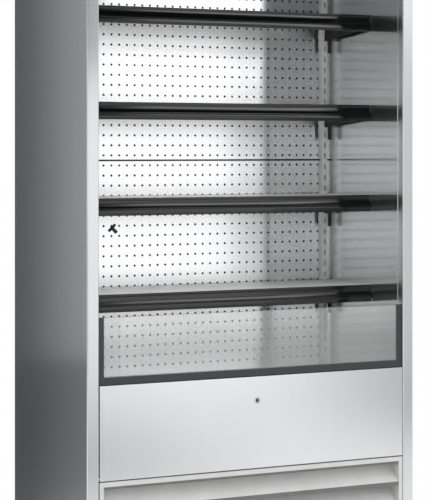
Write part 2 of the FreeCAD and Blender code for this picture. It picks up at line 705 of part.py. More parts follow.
def canopy_underside():
    """Sheet under the duct, turned up at its front to hold the honeycomb."""
    bar_profile("canopy_underside", [
        ("honeycomb_back_y", "opening_top_z"),
        ("honeycomb_back_y + sheet", "opening_top_z"),
        ("honeycomb_back_y + sheet", "underside_z"),
        ("panel_y", "underside_z"),
        ("panel_y", "underside_z + sheet"),
        ("honeycomb_back_y", "underside_z + sheet"),
    ], ("-liner_x", "liner_x"))


def honeycomb():
    """Air outlet: a slab of hexagonal cells that straightens the air curtain."""
    pitch = mm("cell_flat") + mm("cell_wall")
    rise = pitch * math.sqrt(3) / 2
    reach = mm("cell_flat") / math.sqrt(3)
    margin = reach + mm("cell_wall")
    end = mm("liner_x")
    front, back = mm("honeycomb_y"), mm("honeycomb_back_y")
    base = mm("opening_top_z")
    rows = int((back - front - 2 * margin) // rise) + 1
    columns = int((2 * end - 2 * margin - pitch / 2) // pitch) + 1
    cells = []
    for line in range(rows):
        stagger = (line % 2 - 0.5) * pitch / 2
        y = (front + back) / 2 + (line - (rows - 1) / 2) * rise
        for place in range(columns):
            x = (place - (columns - 1) / 2) * pitch + stagger
            ring = []
            for corner in range(HEX_SIDES):
                turn = 2 * math.pi * corner / HEX_SIDES
                ring.append(FreeCAD.Vector(x + reach * math.sin(turn), y + reach * math.cos(turn), base))
            cells.append(Part.makePolygon(ring + ring[:1]))
    slab = ((-end, front), (end, front), (end, back), (-end, back))
    corners = [FreeCAD.Vector(x, y, base) for x, y in slab]
    face = Part.Face([Part.makePolygon(corners + corners[:1])] + cells)
    coded("honeycomb", face.extrude(FreeCAD.Vector(0, 0, mm("honeycomb_height"))))


# Base.
def base_frame():
    """Ring of channel, open below, with a floor plate and a bored bush over each foot."""
    outer_x = "skin_x"
    ring = body("frame_ring")
    deep = ("frame_front_y", "rear_skin_y")
    pad(ring, outline(ring, "XY_Plane", "foot_height", [
        rectangle((f"-{outer_x}", outer_x), deep),
        rectangle((f"-{outer_x} + frame_member", f"{outer_x} - frame_member"),
                  ("frame_front_y + frame_member", "rear_skin_y - frame_member")),
    ]), "frame_height")
    inner = "frame_member - frame_wall"
    hollow = outline(ring, "XY_Plane", "foot_height", [
        rectangle((f"-{outer_x} + frame_wall", f"{outer_x} - frame_wall"),
                  ("frame_front_y + frame_wall", "rear_skin_y - frame_wall")),
        rectangle((f"-{outer_x} + {inner}", f"{outer_x} - ({inner})"),
                  (f"frame_front_y + {inner}", f"rear_skin_y - ({inner})")),
    ])
    pocket(ring, hollow, "frame_height - frame_wall", backwards=True)
    plate = block("machine_floor", (f"-{outer_x}", outer_x), deep, ("frame_top_z", "floor_z"))
    bushes = []
    bores = []
    for name, side, y in FEET:
        x = f"{side} * ({FOOT_X})"
        bushes.append(rod(name + "_bush", "z", x, y, "foot_height", "boss_radius", "frame_height"))
        bores.append(rod(name + "_bore", "z", x, y, "foot_height - frame_wall", "stud_radius + running_fit",
                         "frame_height"))
    cut("base_frame", fuse("base_steel", ring, plate, *bushes), *bores)


FOOT_X = "skin_x - frame_member / 2"
FRONT_FOOT_Y = "frame_front_y + frame_member / 2"
BACK_FOOT_Y = "rear_skin_y - frame_member / 2"
FEET = (
    ("foot_front_left", LEFT, FRONT_FOOT_Y),
    ("foot_front_right", RIGHT, FRONT_FOOT_Y),
    ("foot_back_left", LEFT, BACK_FOOT_Y),
    ("foot_back_right", RIGHT, BACK_FOOT_Y),
)


def levelling_foot(name, side, y):
    """Round pad, hexagon to turn it by and a stud that screws into the frame."""
    owner = body(name)
    pad(owner, outline(owner, "XY_Plane", "0", circles=[("0", "0", "pad_radius")]), "pad_thick")
    corner = f"hex_flat / {2 * math.cos(math.pi / HEX_SIDES)}"
    turns = [2 * math.pi * n / HEX_SIDES for n in range(HEX_SIDES)]
    hexagon = [(f"{corner} * {math.cos(turn):.9f}", f"{corner} * {math.sin(turn):.9f}") for turn in turns]
    pad(owner, outline(owner, "XY_Plane", "pad_thick", [hexagon]), "hex_tall")
    stud = outline(owner, "XY_Plane", "pad_thick + hex_tall", circles=[("0", "0", "stud_radius")])
    last = pad(owner, stud, "stud_length - hex_tall")
    round_edges(owner, last, "pad_rounding", lambda edge: edge.BoundBox.XLength > 2 * mm("pad_radius") - NEAR
                and abs(edge.BoundBox.ZMin - mm("pad_thick")) < NEAR)
    at(owner, x=f"{side} * ({FOOT_X})", y=y)


# Back of the display space.
def perforated_panel(name, low, high, first_row):
    """Sheet between two heights with a grid of round holes counted from a first row."""
    edge = mm("liner_x")
    pitch_x, pitch_z = mm("hole_pitch_x"), mm("hole_pitch_z")
    columns = 2 * int((edge - mm("side_margin") + pitch_x / 2) // pitch_x)
    rows = int((high - pitch_z / 2 - first_row) // pitch_z) + 1
    y = mm("panel_y")
    corners = [FreeCAD.Vector(x, y, z) for x, z in ((-edge, low), (edge, low), (edge, high), (-edge, high))]
    holes = []
    for column in range(columns):
        x = (column - (columns - 1) / 2) * pitch_x
        for line in range(rows):
            centre = FreeCAD.Vector(x, y, first_row + line * pitch_z)
            circle = Part.Circle(centre, FreeCAD.Vector(0, 1, 0), mm("hole_radius"))
            holes.append(Part.Wire([circle.toShape()]))
    face = Part.Face([Part.makePolygon(corners + corners[:1])] + holes)
    coded(name, face.extrude(FreeCAD.Vector(0, mm("sheet"), 0)))


def back_panels():
    half_gap = mm("seam_gap") / 2
    seam = mm("seam_height")
    pitch = mm("hole_pitch_z")
    rows_below = int((seam - pitch / 2 - mm("deck_height") - mm("lower_margin")) // pitch)
    first_row = seam - pitch / 2 - rows_below * pitch
    perforated_panel("lower_back_panel", mm("deck_height"), seam - half_gap, first_row)
    perforated_panel("upper_back_panel", seam + half_gap, mm("underside_z"), seam + pitch / 2)


def uprights():
    """Channel with a row of slots, open towards the back panel."""
    owner = body("upright_right")
    inner, outer = "upright_x - upright_width", "upright_x"
    pad(owner, outline(owner, "XY_Plane", "deck_height", [[
        (inner, "upright_y"),
        (outer, "upright_y"),
        (outer, "panel_y"),
        (f"{outer} - upright_wall", "panel_y"),
        (f"{outer} - upright_wall", "upright_y + upright_wall"),
        (f"{inner} + upright_wall", "upright_y + upright_wall"),
        (f"{inner} + upright_wall", "panel_y"),
        (inner, "panel_y"),
    ]]), "underside_z - deck_height")
    slots_below = int((mm("shelf_height") - mm("slot_drop") - mm("deck_height")) // mm("slot_pitch"))
    lowest = f"shelf_height - slot_drop - slot_pitch * {slots_below}"
    lowest_z = mm("shelf_height") - mm("slot_drop") - mm("slot_pitch") * slots_below
    count = int((mm("underside_z") - mm("slot_height") - lowest_z) // mm("slot_pitch")) + 1
    slot = pocket(owner, outline(owner, "XZ_Plane", "-upright_y - 2 * upright_wall", [rectangle(
        ("bracket_x - slot_width / 2", "bracket_x + slot_width / 2"),
        (f"{lowest} - slot_height / 2", f"{lowest} + slot_height / 2"),
    )]), "4 * upright_wall", backwards=True)
    row(owner, slot, "Z_Axis", "slot_pitch", count)
    group("uprights", owner, mirrored("upright_left", owner))


# Shelves. Each is drawn with its top at height zero and then lifted into place.
def shelf(number):
    height = f"shelf_height + shelf_pitch * {number - 1}"
    deck = body(f"shelf_{number}_deck")
    front = "shelf_y + strip_tab"
    whole = outline(deck, "XY_Plane", "-sheet - deck_flange", [
        rectangle(("-shelf_x", "shelf_x"), (front, "shelf_back_y")),
    ])
    pad(deck, whole, "deck_flange")
    inside = outline(deck, "XY_Plane", "-sheet - deck_flange", [
        rectangle(("-shelf_x + sheet", "shelf_x - sheet"), (front + " + sheet", "shelf_back_y + sheet")),
    ])
    pocket(deck, inside, "deck_flange - sheet", backwards=True)
    at(deck, z=height)
    at(ticket_strip(f"shelf_{number}_strip"), z=height)
    brackets = shelf_brackets(f"shelf_{number}_brackets")
    at(brackets, z=height)


def ticket_strip(name):
    """Bent extrusion: upper lip, leaning label face and a lower lip that stands forward."""
    groove_y = "shelf_y - strip_step - strip_slope - strip_wall"
    lip_top = "-strip_height + strip_low_lip"
    lip_y = "shelf_y - strip_reach"
    end_y = "shelf_y - strip_step - strip_wall"
    points = [
        ("shelf_y + strip_tab", "0"),
        ("shelf_y - strip_wall", "0"),
        ("shelf_y - 2 * strip_wall", "-strip_wall"),
        ("shelf_y - 2 * strip_wall", "-strip_top_lip"),
        ("shelf_y - strip_wall", "-strip_top_lip"),
        (groove_y, lip_top),
        (f"{lip_y} + strip_wall", lip_top),
        (lip_y, f"{lip_top} - strip_wall"),
        (lip_y, "-strip_height + strip_wall"),
        (f"{lip_y} + strip_wall", "-strip_height"),
        (end_y, "-strip_height"),
        (end_y, "-strip_height + strip_wall"),
        (f"{lip_y} + strip_wall", "-strip_height + strip_wall"),
        (f"{lip_y} + strip_wall", f"{lip_top} - strip_wall"),
        (f"{groove_y} + strip_wall", f"{lip_top} - strip_wall"),
        (f"{groove_y} + strip_wall", lip_top),
        ("shelf_y", "-strip_top_lip"),
        ("shelf_y", "-strip_wall"),
        ("shelf_y + strip_tab", "-strip_wall"),
    ]
    return bar_profile(name, points, ("-shelf_x", "shelf_x"))


def shelf_brackets(name):
    """Pair of gusset plates whose hooks pass through the slots and drop behind the face."""
    under = "-2 * sheet"
    front = "shelf_y + strip_tab + 2 * sheet"
    back = "upright_y - clearance"
    tail_back = f"{back} - tail_stand"
    tail = f"{tail_back} - tail_width"
    points = [(front, under), (front, "-bracket_front"), (tail, "-bracket_back"), (tail, "-bracket_tail"),
              (tail_back, "-bracket_tail"), (tail_back, "-bracket_heel"), (back, "-bracket_heel")]
    inside = "upright_y + upright_wall + clearance"
    tip = f"{inside} + hook_thick"
    for level in (1, 0):
        floor = f"-slot_drop - slot_pitch * {level} - slot_height / 2 + clearance"
        below, above = f"{floor} - hook_lip", f"{floor} + hook_neck"
        points += [(back, floor), (inside, floor), (inside, below), (tip, below), (tip, above), (back, above)]
    points.append((back, under))
    right = bar_profile(name + "_right", points,
                        ("bracket_x - bracket_wall / 2", "bracket_x + bracket_wall / 2"))
    return group(name, right, mirrored(name + "_left", right))


# Front below the shelves.
def riser():
    """Glass pane in a frame with a sill that reaches back to the liner and holds the lock's keeper."""
    frame = body("riser_frame")
    side_in = "riser_x - riser_side"
    shape = [
        ("-riser_x", "riser_z"), ("riser_x", "riser_z"), ("riser_x", "glass_top_z - clearance"),
        (side_in, "glass_top_z - clearance"), (side_in, "sill_z"),
        (f"-({side_in})", "sill_z"), (f"-({side_in})", "glass_top_z - clearance"),
        ("-riser_x", "glass_top_z - clearance"),
    ]
    pad(frame, outline(frame, "XZ_Plane", "-riser_back_y", [shape]), "riser_depth")
    seat = outline(frame, "XZ_Plane", "-glass_y - glass_thick - glass_play", [rectangle(
        ("-glass_x - glass_play", "glass_x + glass_play"), ("glass_z - glass_play", "glass_top_z + seat_gap"),
    )])
    pocket(frame, seat, "glass_thick + 2 * glass_play", backwards=True)
    sill = outline(frame, "XZ_Plane", "-upstand_y", [
        rectangle(("-riser_x", "riser_x"), ("sill_z - sill_thick", "sill_z")),
    ])
    pad(frame, sill, "upstand_y - riser_back_y")
    keeper = outline(frame, "XZ_Plane", "-keeper_y - tongue_thick", [
        rectangle(("-keeper_width / 2", "keeper_width / 2"), ("riser_z - keeper_drop", "sill_z")),
    ])
    pad(frame, keeper, "tongue_thick")

    glass = body("glass_riser")
    pane = outline(glass, "XZ_Plane", "-glass_y - glass_thick", [
        rectangle(("-glass_x", "glass_x"), ("glass_z", "glass_top_z")),
    ])
    pane_pad = pad(glass, pane, "glass_thick")
    round_edges(glass, pane_pad, "glass_arris",
                lambda edge: runs_along(edge, "x") and edge.BoundBox.ZMin > mm("glass_top_z") - 1)


def access_panel():
    """Folded tray, open behind, with two hinge pins and the lock's bore."""
    tray = body("access_tray")
    z = ("access_bottom", "access_top_z")
    whole = outline(tray, "XZ_Plane", "-access_back_y", [rectangle(("-access_x", "access_x"), z)])
    tray_pad = pad(tray, whole, "access_depth")
    round_edges(tray, tray_pad, "access_fold",
                lambda edge: runs_along(edge, "x") and edge.BoundBox.YMin < mm("front_y") + NEAR)
    inside = outline(tray, "XZ_Plane", "-access_back_y", [rectangle(
        ("-access_x + sheet", "access_x - sheet"), ("access_bottom + sheet", "access_top_z - sheet"),
    )])
    pocket(tray, inside, "access_depth - sheet", backwards=True)
    bore = outline(tray, "XZ_Plane", "-access_back_y", circles=[("0", "lock_z", "lock_radius + running_fit")])
    pocket(tray, bore, "2 * access_depth", backwards=True)
    starts = {"hinge_pin_right": "access_x - sheet", "hinge_pin_left": "-access_x - hinge_reach"}
    pins = [
        rod(name, "x", start, "hinge_y", "hinge_z", "hinge_radius", "hinge_reach + sheet")
        for name, start in starts.items()
    ]
    fuse("access_panel", tray, *pins)


def lock_cam():
    """Lock barrel with its key slot, a collar behind the panel and the tongue."""
    barrel = rod("lock_barrel", "y", "0", "front_y", "lock_z", "lock_radius", "tongue_y - front_y")
    collar = rod("lock_collar", "y", "0", "front_y + sheet + clearance", "lock_z", "collar_radius",
                 "access_depth / 2")
    half = "tongue_width / 2"
    tongue = block("lock_tongue", (f"-{half}", "tongue_length"), ("tongue_y", "tongue_y + tongue_thick"),
                   (f"lock_z - {half}", f"lock_z + {half}"))
    keyway = block("keyway", ("-keyway_width / 2", "keyway_width / 2"),
                   ("front_y - skin", "front_y + keyway_depth"),
                   ("lock_z - keyway_length / 2", "lock_z + keyway_length / 2"))
    cut("lock_cam", fuse("lock_solid", barrel, collar, tongue), keyway)


def louvre_grille():
    """Frame with sloping slats that end in an upright lip, and tabs that rest on the floor plate."""
    owner = body("louvre_grille")
    whole = outline(owner, "XZ_Plane", "-grille_back_y", [
        rectangle(("-access_x", "access_x"), ("grille_bottom", "grille_top_z")),
        rectangle(("-access_x + grille_side", "access_x - grille_side"),
                  ("grille_bottom + grille_base", "grille_top_z - grille_top")),
    ])
    pad(owner, whole, "grille_depth")
    rear = "grille_back_y"
    lip = "front_y + slat_wall"
    top = "grille_top_z - slat_drop"
    low = f"{top} - slat_rise"
    points = [
        (rear, top),
        (lip, low),
        (lip, f"{low} - slat_lip"),
        (f"{lip} + slat_wall", f"{low} - slat_lip"),
        (f"{lip} + slat_wall", f"{low} - slat_fall / 2"),
        (rear, f"{top} - slat_fall"),
    ]
    inner = "access_x - grille_side"
    slat = pad(owner, outline(owner, "YZ_Plane", f"-({inner})", [points]), f"2 * ({inner})")
    row(owner, slat, "Z_Axis", "slat_pitch", GRILLE_SLATS).Reversed = True
    depth = ("grille_back_y", "frame_front_y + tab_reach")
    tabs = outline(owner, "XY_Plane", "floor_z + clearance", [
        rectangle((inner, "access_x"), depth),
        rectangle(("-access_x", f"-({inner})"), depth),
    ])
    pad(owner, tabs, "tab_thick")


# Well under the display deck.
def base_deck():
    """Display deck: a sheet turned down at its front edge, resting on the fan plate."""
    bar_profile("base_deck", [
        ("return_y", "deck_height"),
        ("return_y", "deck_height - deck_flange"),
        ("return_y + sheet", "deck_height - deck_flange"),
        ("return_y + sheet", "deck_height - sheet"),
        ("panel_y + sheet", "deck_height - sheet"),
        ("panel_y + sheet", "deck_height"),
    ], ("-liner_x", "liner_x"))


def return_grille():
    """Slotted plate over the front of the well, where the air goes back."""
    owner = body("return_grille")
    plate = outline(owner, "XY_Plane", "return_z", [
        rectangle(("-liner_x", "liner_x"), ("well_front_y", "return_y")),
    ])
    pad(owner, plate, "return_thick")
    count = int((2 * mm("liner_x") - 2 * mm("return_slot_margin")) // mm("return_slot_pitch"))
    first = f"-return_slot_pitch * {(count - 1) / 2}"
    slot = pocket(owner, outline(owner, "XY_Plane", "deck_height", [rectangle(
        (f"{first} - return_slot_width / 2", f"{first} + return_slot_width / 2"),
        ("well_back_y + return_slot_margin", "return_y - return_slot_margin"),
    )]), "2 * return_thick")
    row(owner, slot, "X_Axis", "return_slot_pitch", count)


def fan_plate():
    plate = block("fan_plate_sheet", ("-liner_x", "liner_x"), ("plate_y", "plate_y + skin"),
                  ("well_z + sheet", "deck_height - sheet"))
    openings = [
        rod(f"fan_opening_{n}", "y", f"{side} * evap_fan_x", "plate_y - skin", "evap_fan_z",
            "evap_fan_radius + tip_gap", "3 * skin")
        for n, side in enumerate((LEFT, RIGHT))
    ]
    cut("fan_plate", plate, *openings)


def axial_fan(name, tip, x, y, z):
    """Hub, pitched blades and a shaft that points back into the motor; y is the hub's rear face."""
    owner = body(name)
    pad(owner, outline(owner, "XZ_Plane", "0", circles=[("0", "0", "fan_hub")]), "fan_depth")
    pad(owner, outline(owner, "XZ_Plane", "-shaft_length", circles=[("0", "0", "shaft_radius")]),
        "shaft_length + fan_depth / 2")
    along = (math.cos(BLADE_PITCH) / 2, math.sin(BLADE_PITCH) / 2)
    across = (-math.sin(BLADE_PITCH) / 2, math.cos(BLADE_PITCH) / 2)

    def corner(chord_side, wall_side):
        x_text = f"{chord_side * along[0]:.6f} * blade_chord + {wall_side * across[0]:.6f} * blade_thick"
        y_text = f"{chord_side * along[1]:.6f} * blade_chord + {wall_side * across[1]:.6f} * blade_thick"
        return x_text, y_text + " - fan_depth / 2"

    section = [corner(*signs) for signs in ((-1, -1), (1, -1), (1, 1), (-1, 1))]
    blade = pad(owner, outline(owner, "XY_Plane", "blade_root", [section]), f"{tip} - blade_root")
    blades = owner.newObject("PartDesign::PolarPattern", name + "_blades")
    blades.Originals = [blade]
    blades.Axis = (datum(owner, "Y_Axis"), [""])
    blades.Angle = 360
    blades.Occurrences = FAN_BLADES
    owner.Tip = blades
    at(owner, x=x, y=y, z=z)


def fan_motor(name, reach, x, y, z):
    """Motor on two crossed arms that reach equally far; the arms' front faces lie at y."""
    depth = (y, f"{y} + arm_thick")
    flat = block(name + "_arm_across", (f"{x} - ({reach})", f"{x} + {reach}"), depth,
                 (f"{z} - arm_width / 2", f"{z} + arm_width / 2"))
    tall = block(name + "_arm_up", (f"{x} - arm_width / 2", f"{x} + arm_width / 2"), depth,
                 (f"{z} - ({reach})", f"{z} + {reach}"))
    case = rod(name + "_case", "y", x, depth[1], z, "motor_radius", "motor_length")
    bore = rod(name + "_bore", "y", x, f"{y} - arm_thick", z, "shaft_radius + running_fit",
               "shaft_length + arm_thick")
    return cut(name, fuse(name + "_solid", flat, tall, case), bore)


def finned_coil(name, x, y, z, tube_lines):
    """Straight tubes through flat fins; x, y and z are the low and high values of the fin pack."""
    fins = []
    count = int((x[1] - x[0]) // mm("fin_pitch")) + 1
    step = (x[1] - x[0] - mm("fin_thick")) / (count - 1)
    for n in range(count):
        corner = FreeCAD.Vector(x[0] + n * step, y[0], z[0])
        fins.append(Part.makeBox(mm("fin_thick"), y[1] - y[0], z[1] - z[0], corner))
    tubes = []
    radius = mm("coil_tube")
    for line in range(tube_lines):
        for layer in range(COIL_LAYERS):
            start = FreeCAD.Vector(x[0] - 2 * radius, y[0] + (y[1] - y[0]) * (layer + 0.5) / COIL_LAYERS,
                                   z[0] + (z[1] - z[0]) * (line + 0.5) / tube_lines)
            tubes.append(Part.makeCylinder(radius, x[1] - x[0] + 4 * radius, start, FreeCAD.Vector(1, 0, 0)))
    coded(name, tubes[0].multiFuse(tubes[1:] + fins))


def coils():
    well_top = mm("well_z") + mm("sheet")
    edge = mm("liner_x") - mm("evap_coil_margin")
    front = mm("plate_y") + mm("skin") + mm("arm_thick") + mm("motor_length") + mm("evap_coil_gap")
    finned_coil("evaporator_coil", (-edge, edge), (front, front + mm("evap_coil_depth")),
                (well_top, well_top + mm("evap_coil_height")), EVAPORATOR_LINES)
    middle = mm("cond_x")
    half = mm("cond_width") / 2
    finned_coil("condenser_coil", (middle - half, middle + half), (mm("cond_y"), mm("shroud_y")),
                (mm("floor_z"), mm("floor_z") + mm("cond_height")), CONDENSER_LINES)


def condenser_shroud():
    """Box open towards the coil, with a round opening in its back."""
    half = "cond_width / 2"
    z = ("floor_z", "floor_z + cond_height")
    box = block("shroud_box", (f"cond_x - {half}", f"cond_x + {half}"), ("shroud_y", "shroud_back_y"), z)
    hollow = block("shroud_hollow", (f"cond_x - {half} + tray_wall", f"cond_x + {half} - tray_wall"),
                   ("shroud_y - tray_wall", "shroud_back_y - tray_wall"),
                   (f"{z[0]} + tray_wall", f"{z[1]} - tray_wall"))
    opening = rod("shroud_opening", "y", "cond_x", "shroud_y", "cond_fan_z", "cond_fan_radius + tip_gap",
                  "shroud_depth + tray_wall")
    cut("condenser_shroud", box, hollow, opening)


def compressor():
    """Welded steel shell with rounded ends, on a foot plate with rubber pads, and a terminal cover."""
    owner = body("compressor_shell")
    foot = "floor_z + compressor_lift"
    shell = outline(owner, "XY_Plane", f"{foot} + foot_plate_thick / 2",
                    circles=[("0", "0", "compressor_radius")])
    shell_pad = pad(owner, shell, "compressor_height - compressor_lift - foot_plate_thick / 2")
    round_edges(owner, shell_pad, "compressor_rounding", lambda edge: edge.BoundBox.ZLength < NEAR)
    at(owner, x="compressor_x", y="compressor_y")
    half_x, half_y = "foot_plate_length / 2", "foot_plate_width / 2"
    plate = block("compressor_feet", (f"compressor_x - {half_x}", f"compressor_x + {half_x}"),
                  (f"compressor_y - {half_y}", f"compressor_y + {half_y}"),
                  (foot, f"{foot} + foot_plate_thick"))
    pads = [
        rod(f"compressor_pad_{n}", "z", f"compressor_x + {sx} * ({half_x} - rubber_inset)",
            f"compressor_y + {sy} * ({half_y} - rubber_inset)", "floor_z", "rubber_radius", "compressor_lift")
        for n, (sx, sy) in enumerate(((-1, -1), (1, -1), (-1, 1), (1, 1)))
    ]
    low = "floor_z + terminal_rise"
    cover = block("terminal_cover", ("compressor_x - terminal_size / 2", "compressor_x + terminal_size / 2"),
                  ("compressor_y - compressor_radius - terminal_depth", "compressor_y"),
                  (low, f"{low} + terminal_size"))
    fuse("compressor", owner, plate, cover, *pads)


def pipe(points, radius):
    """Round pipe along straight runs joined by tangent arcs."""
    bend = mm("pipe_bend")
    edges = []
    start = points[0]
    for before, corner, after in zip(points, points[1:], points[2:]):
        to_before = (before - corner).normalize()
        to_after = (after - corner).normalize()
        reach = bend * math.tan((math.pi - to_before.getAngle(to_after)) / 2)
        first, last = corner + to_before * reach, corner + to_after * reach
        outward = (to_before + to_after).normalize()
        half_turn = to_before.getAngle(to_after) / 2
        middle = corner + outward * (bend / math.sin(half_turn) - bend)
        edges.append(Part.LineSegment(start, first).toShape())
        edges.append(Part.Arc(first, middle, last).toShape())
        start = last
    edges.append(Part.LineSegment(start, points[-1]).toShape())
    path = Part.Wire(edges)
    ring = Part.Wire([Part.Circle(points[0], points[1] - points[0], radius).toShape()])
    return path.makePipeShell([ring], True, False)


def refrigerant_pipes():
    """Discharge, suction and liquid pipes between compressor, condenser and the well."""
    point = FreeCAD.Vector
    y = mm("compressor_y")
    floor = mm("floor_z")
    ceiling = mm("ceiling_z")
    top = floor + mm("compressor_height")
    over = top + mm("discharge_rise")
    coil_end = mm("cond_x") + mm("cond_width") / 2 + 2 * mm("coil_tube")
    tube_step = mm("cond_height") / CONDENSER_LINES
    highest = floor + mm("cond_height") - tube_step / 2
    lowest = floor + tube_step / 2
    tube_y = mm("cond_y") + mm("cond_depth") / (2 * COIL_LAYERS)
    start_x = mm("compressor_x") - mm("discharge_offset")
    drop_x = coil_end + mm("discharge_reach")
    discharge = pipe([
        point(start_x, y, top), point(start_x, y, over), point(drop_x, y, over),
        point(drop_x, tube_y, over), point(drop_x, tube_y, highest), point(coil_end, tube_y, highest),
    ], mm("discharge_radius"))
    suction_x = mm("compressor_x") + mm("suction_offset")
    suction = pipe([point(suction_x, y, top), point(suction_x, y, ceiling)], mm("suction_radius"))
    liquid_x = coil_end + mm("liquid_reach")
    liquid_y = mm("front_y") + mm("liquid_setback")
    liquid = pipe([
        point(coil_end, tube_y, lowest), point(liquid_x, tube_y, lowest), point(liquid_x, liquid_y, lowest),
        point(liquid_x, liquid_y, ceiling),
    ], mm("liquid_radius"))
    coded("refrigerant_pipes", Part.makeCompound([discharge, suction, liquid]))


def drip_tray():
    """Open tray that catches and evaporates the defrost water."""
    x = ("cond_x - cond_width / 2", "cond_x + cond_width / 2")
    y = ("rear_skin_y - tray_setback - tray_depth", "rear_skin_y - tray_setback")
    owner = body("drip_tray")
    tray_pad = pad(owner, outline(owner, "XY_Plane", "floor_z", [rectangle(x, y)]), "tray_height")
    round_edges(owner, tray_pad, "tray_corner", lambda edge: runs_along(edge, "z"))
    inside = outline(owner, "XY_Plane", "floor_z + tray_height", [rectangle(
        (x[0] + " + tray_wall", x[1] + " - tray_wall"), (y[0] + " + tray_wall", y[1] + " - tray_wall"),
    )])
    pocket(owner, inside, "tray_height - tray_wall")


def control_box():
    """Electrical enclosure with a lid that stands a little proud."""
    owner = body("control_box")
    half = "box_width / 2"
    seam = "box_height - lid_height"
    base = pad(owner, outline(owner, "XY_Plane", "floor_z", [
        rectangle((f"box_x - {half}", f"box_x + {half}"), ("cond_y", "cond_y + box_depth")),
    ]), seam)
    round_edges(owner, base, "box_rounding", lambda edge: runs_along(edge, "z"))
    lid = outline(owner, "XY_Plane", f"floor_z + {seam}", [
        rectangle((f"box_x - {half} - lid_lap", f"box_x + {half} + lid_lap"),
                  ("cond_y - lid_lap", "cond_y + box_depth + lid_lap")),
    ])
    pad(owner, lid, "lid_height")


def cord_gland():
    """Gland in the rear panel where the supply cord goes in: inner nut, throat and bore."""
    nut = rod("gland_nut", "y", "gland_x", "rear_skin_y - gland_nut_length", "gland_height",
              "gland_nut_radius", "gland_nut_length")
    throat = rod("gland_throat", "y", "gland_x", "rear_skin_y - gland_length", "gland_height",
                 "gland_radius - clearance / 2", "gland_length + skin")
    bore = rod("gland_hole", "y", "gland_x", "rear_skin_y - 2 * gland_length", "gland_height", "gland_bore",
               "4 * gland_length")
    cut("cord_gland", fuse("gland_solid", nut, throat), bore)


# Canopy.
def lamp():
    """Lamp profile with a rounded diffuser, on the back of the fascia."""
    y = ("front_y + skin", "front_y + skin + lamp_depth")
    low = "opening_top_z + seat_gap"
    owner = bar_profile("lamp", rectangle(y, (low, f"{low} + lamp_height")), ("-lamp_x", "lamp_x"))
    round_edges(owner, owner.Tip, "lamp_rounding",
                lambda edge: runs_along(edge, "x") and edge.BoundBox.YMin > mm("front_y") + 2 * mm("skin"))


def blind():
    """Night blind: cassette, sprung roller, fabric and a pull bar with end sliders and a grip."""
    back = "flange_y"
    wall = "cassette_wall"
    z = ("cassette_z", "cassette_z + cassette_height")
    shell = block("cassette_shell", ("-liner_x", "liner_x"), ("cassette_y", back), z)
    hollow = block("cassette_hollow", (f"-liner_x + {wall}", f"liner_x - {wall}"),
                   (f"cassette_y + {wall}", f"{back} - {wall}"), (f"{z[0]} + {wall}", f"{z[1]} - {wall}"))
    slot = block("cassette_slot", ("-blind_x - seat_gap", "blind_x + seat_gap"),
                 (f"cassette_y + {wall}", "roll_y - roll_radius / 2"),
                 (f"{z[0]} - {wall}", f"{z[0]} + 2 * {wall}"))
    bore = rod("cassette_bore", "x", f"-liner_x - {wall}", "roll_y", "roll_z", "tube_radius + running_fit",
               f"2 * (liner_x + {wall})")
    cut("blind_cassette", shell, hollow, slot, bore)

    inner = f"liner_x - {wall} - 2 * seat_gap"
    roll = rod("blind_roll", "x", "-blind_x", "roll_y", "roll_z", "roll_radius", "2 * blind_x")
    core = rod("roller_core", "x", f"-({inner})", "roll_y", "roll_z", "core_radius", f"2 * ({inner})")
    shaft = rod("roller_shaft", "x", "-liner_x + clearance", "roll_y", "roll_z", "tube_radius",
                "2 * (liner_x - clearance)")
    fuse("blind_roller", roll, core, shaft)

    block("blind_fabric", ("-blind_x", "blind_x"), ("blind_y", "blind_y + blind_thick"),
          ("bar_top_z", "roll_z"))

    half = "bar_thick / 2"
    beam = body("blind_beam")
    beam_pad = pad(beam, outline(beam, "YZ_Plane", "-bar_x", [rectangle(
        (f"blind_y - {half}", f"blind_y + {half}"), ("bar_top_z - bar_height", "bar_top_z"),
    )]), "2 * bar_x")
    round_edges(beam, beam_pad, "bar_rounding", lambda edge: runs_along(edge, "x"))
    slider_y = ("blind_y - slider_thick / 2", "blind_y + slider_thick / 2")
    slider_z = ("bar_top_z - bar_height + seat_gap", "bar_top_z - seat_gap")
    sliders = [
        block("slider_right", ("bar_x - seat_gap", "liner_x - clearance"), slider_y, slider_z),
        block("slider_left", ("-liner_x + clearance", "-bar_x + seat_gap"), slider_y, slider_z),
    ]
    grip = block("blind_grip", ("-grip_width / 2", "grip_width / 2"), slider_y,
                 ("bar_top_z - bar_height - grip_height", "bar_top_z - bar_height / 2"))
    fuse("blind_bar", beam, grip, *sliders)


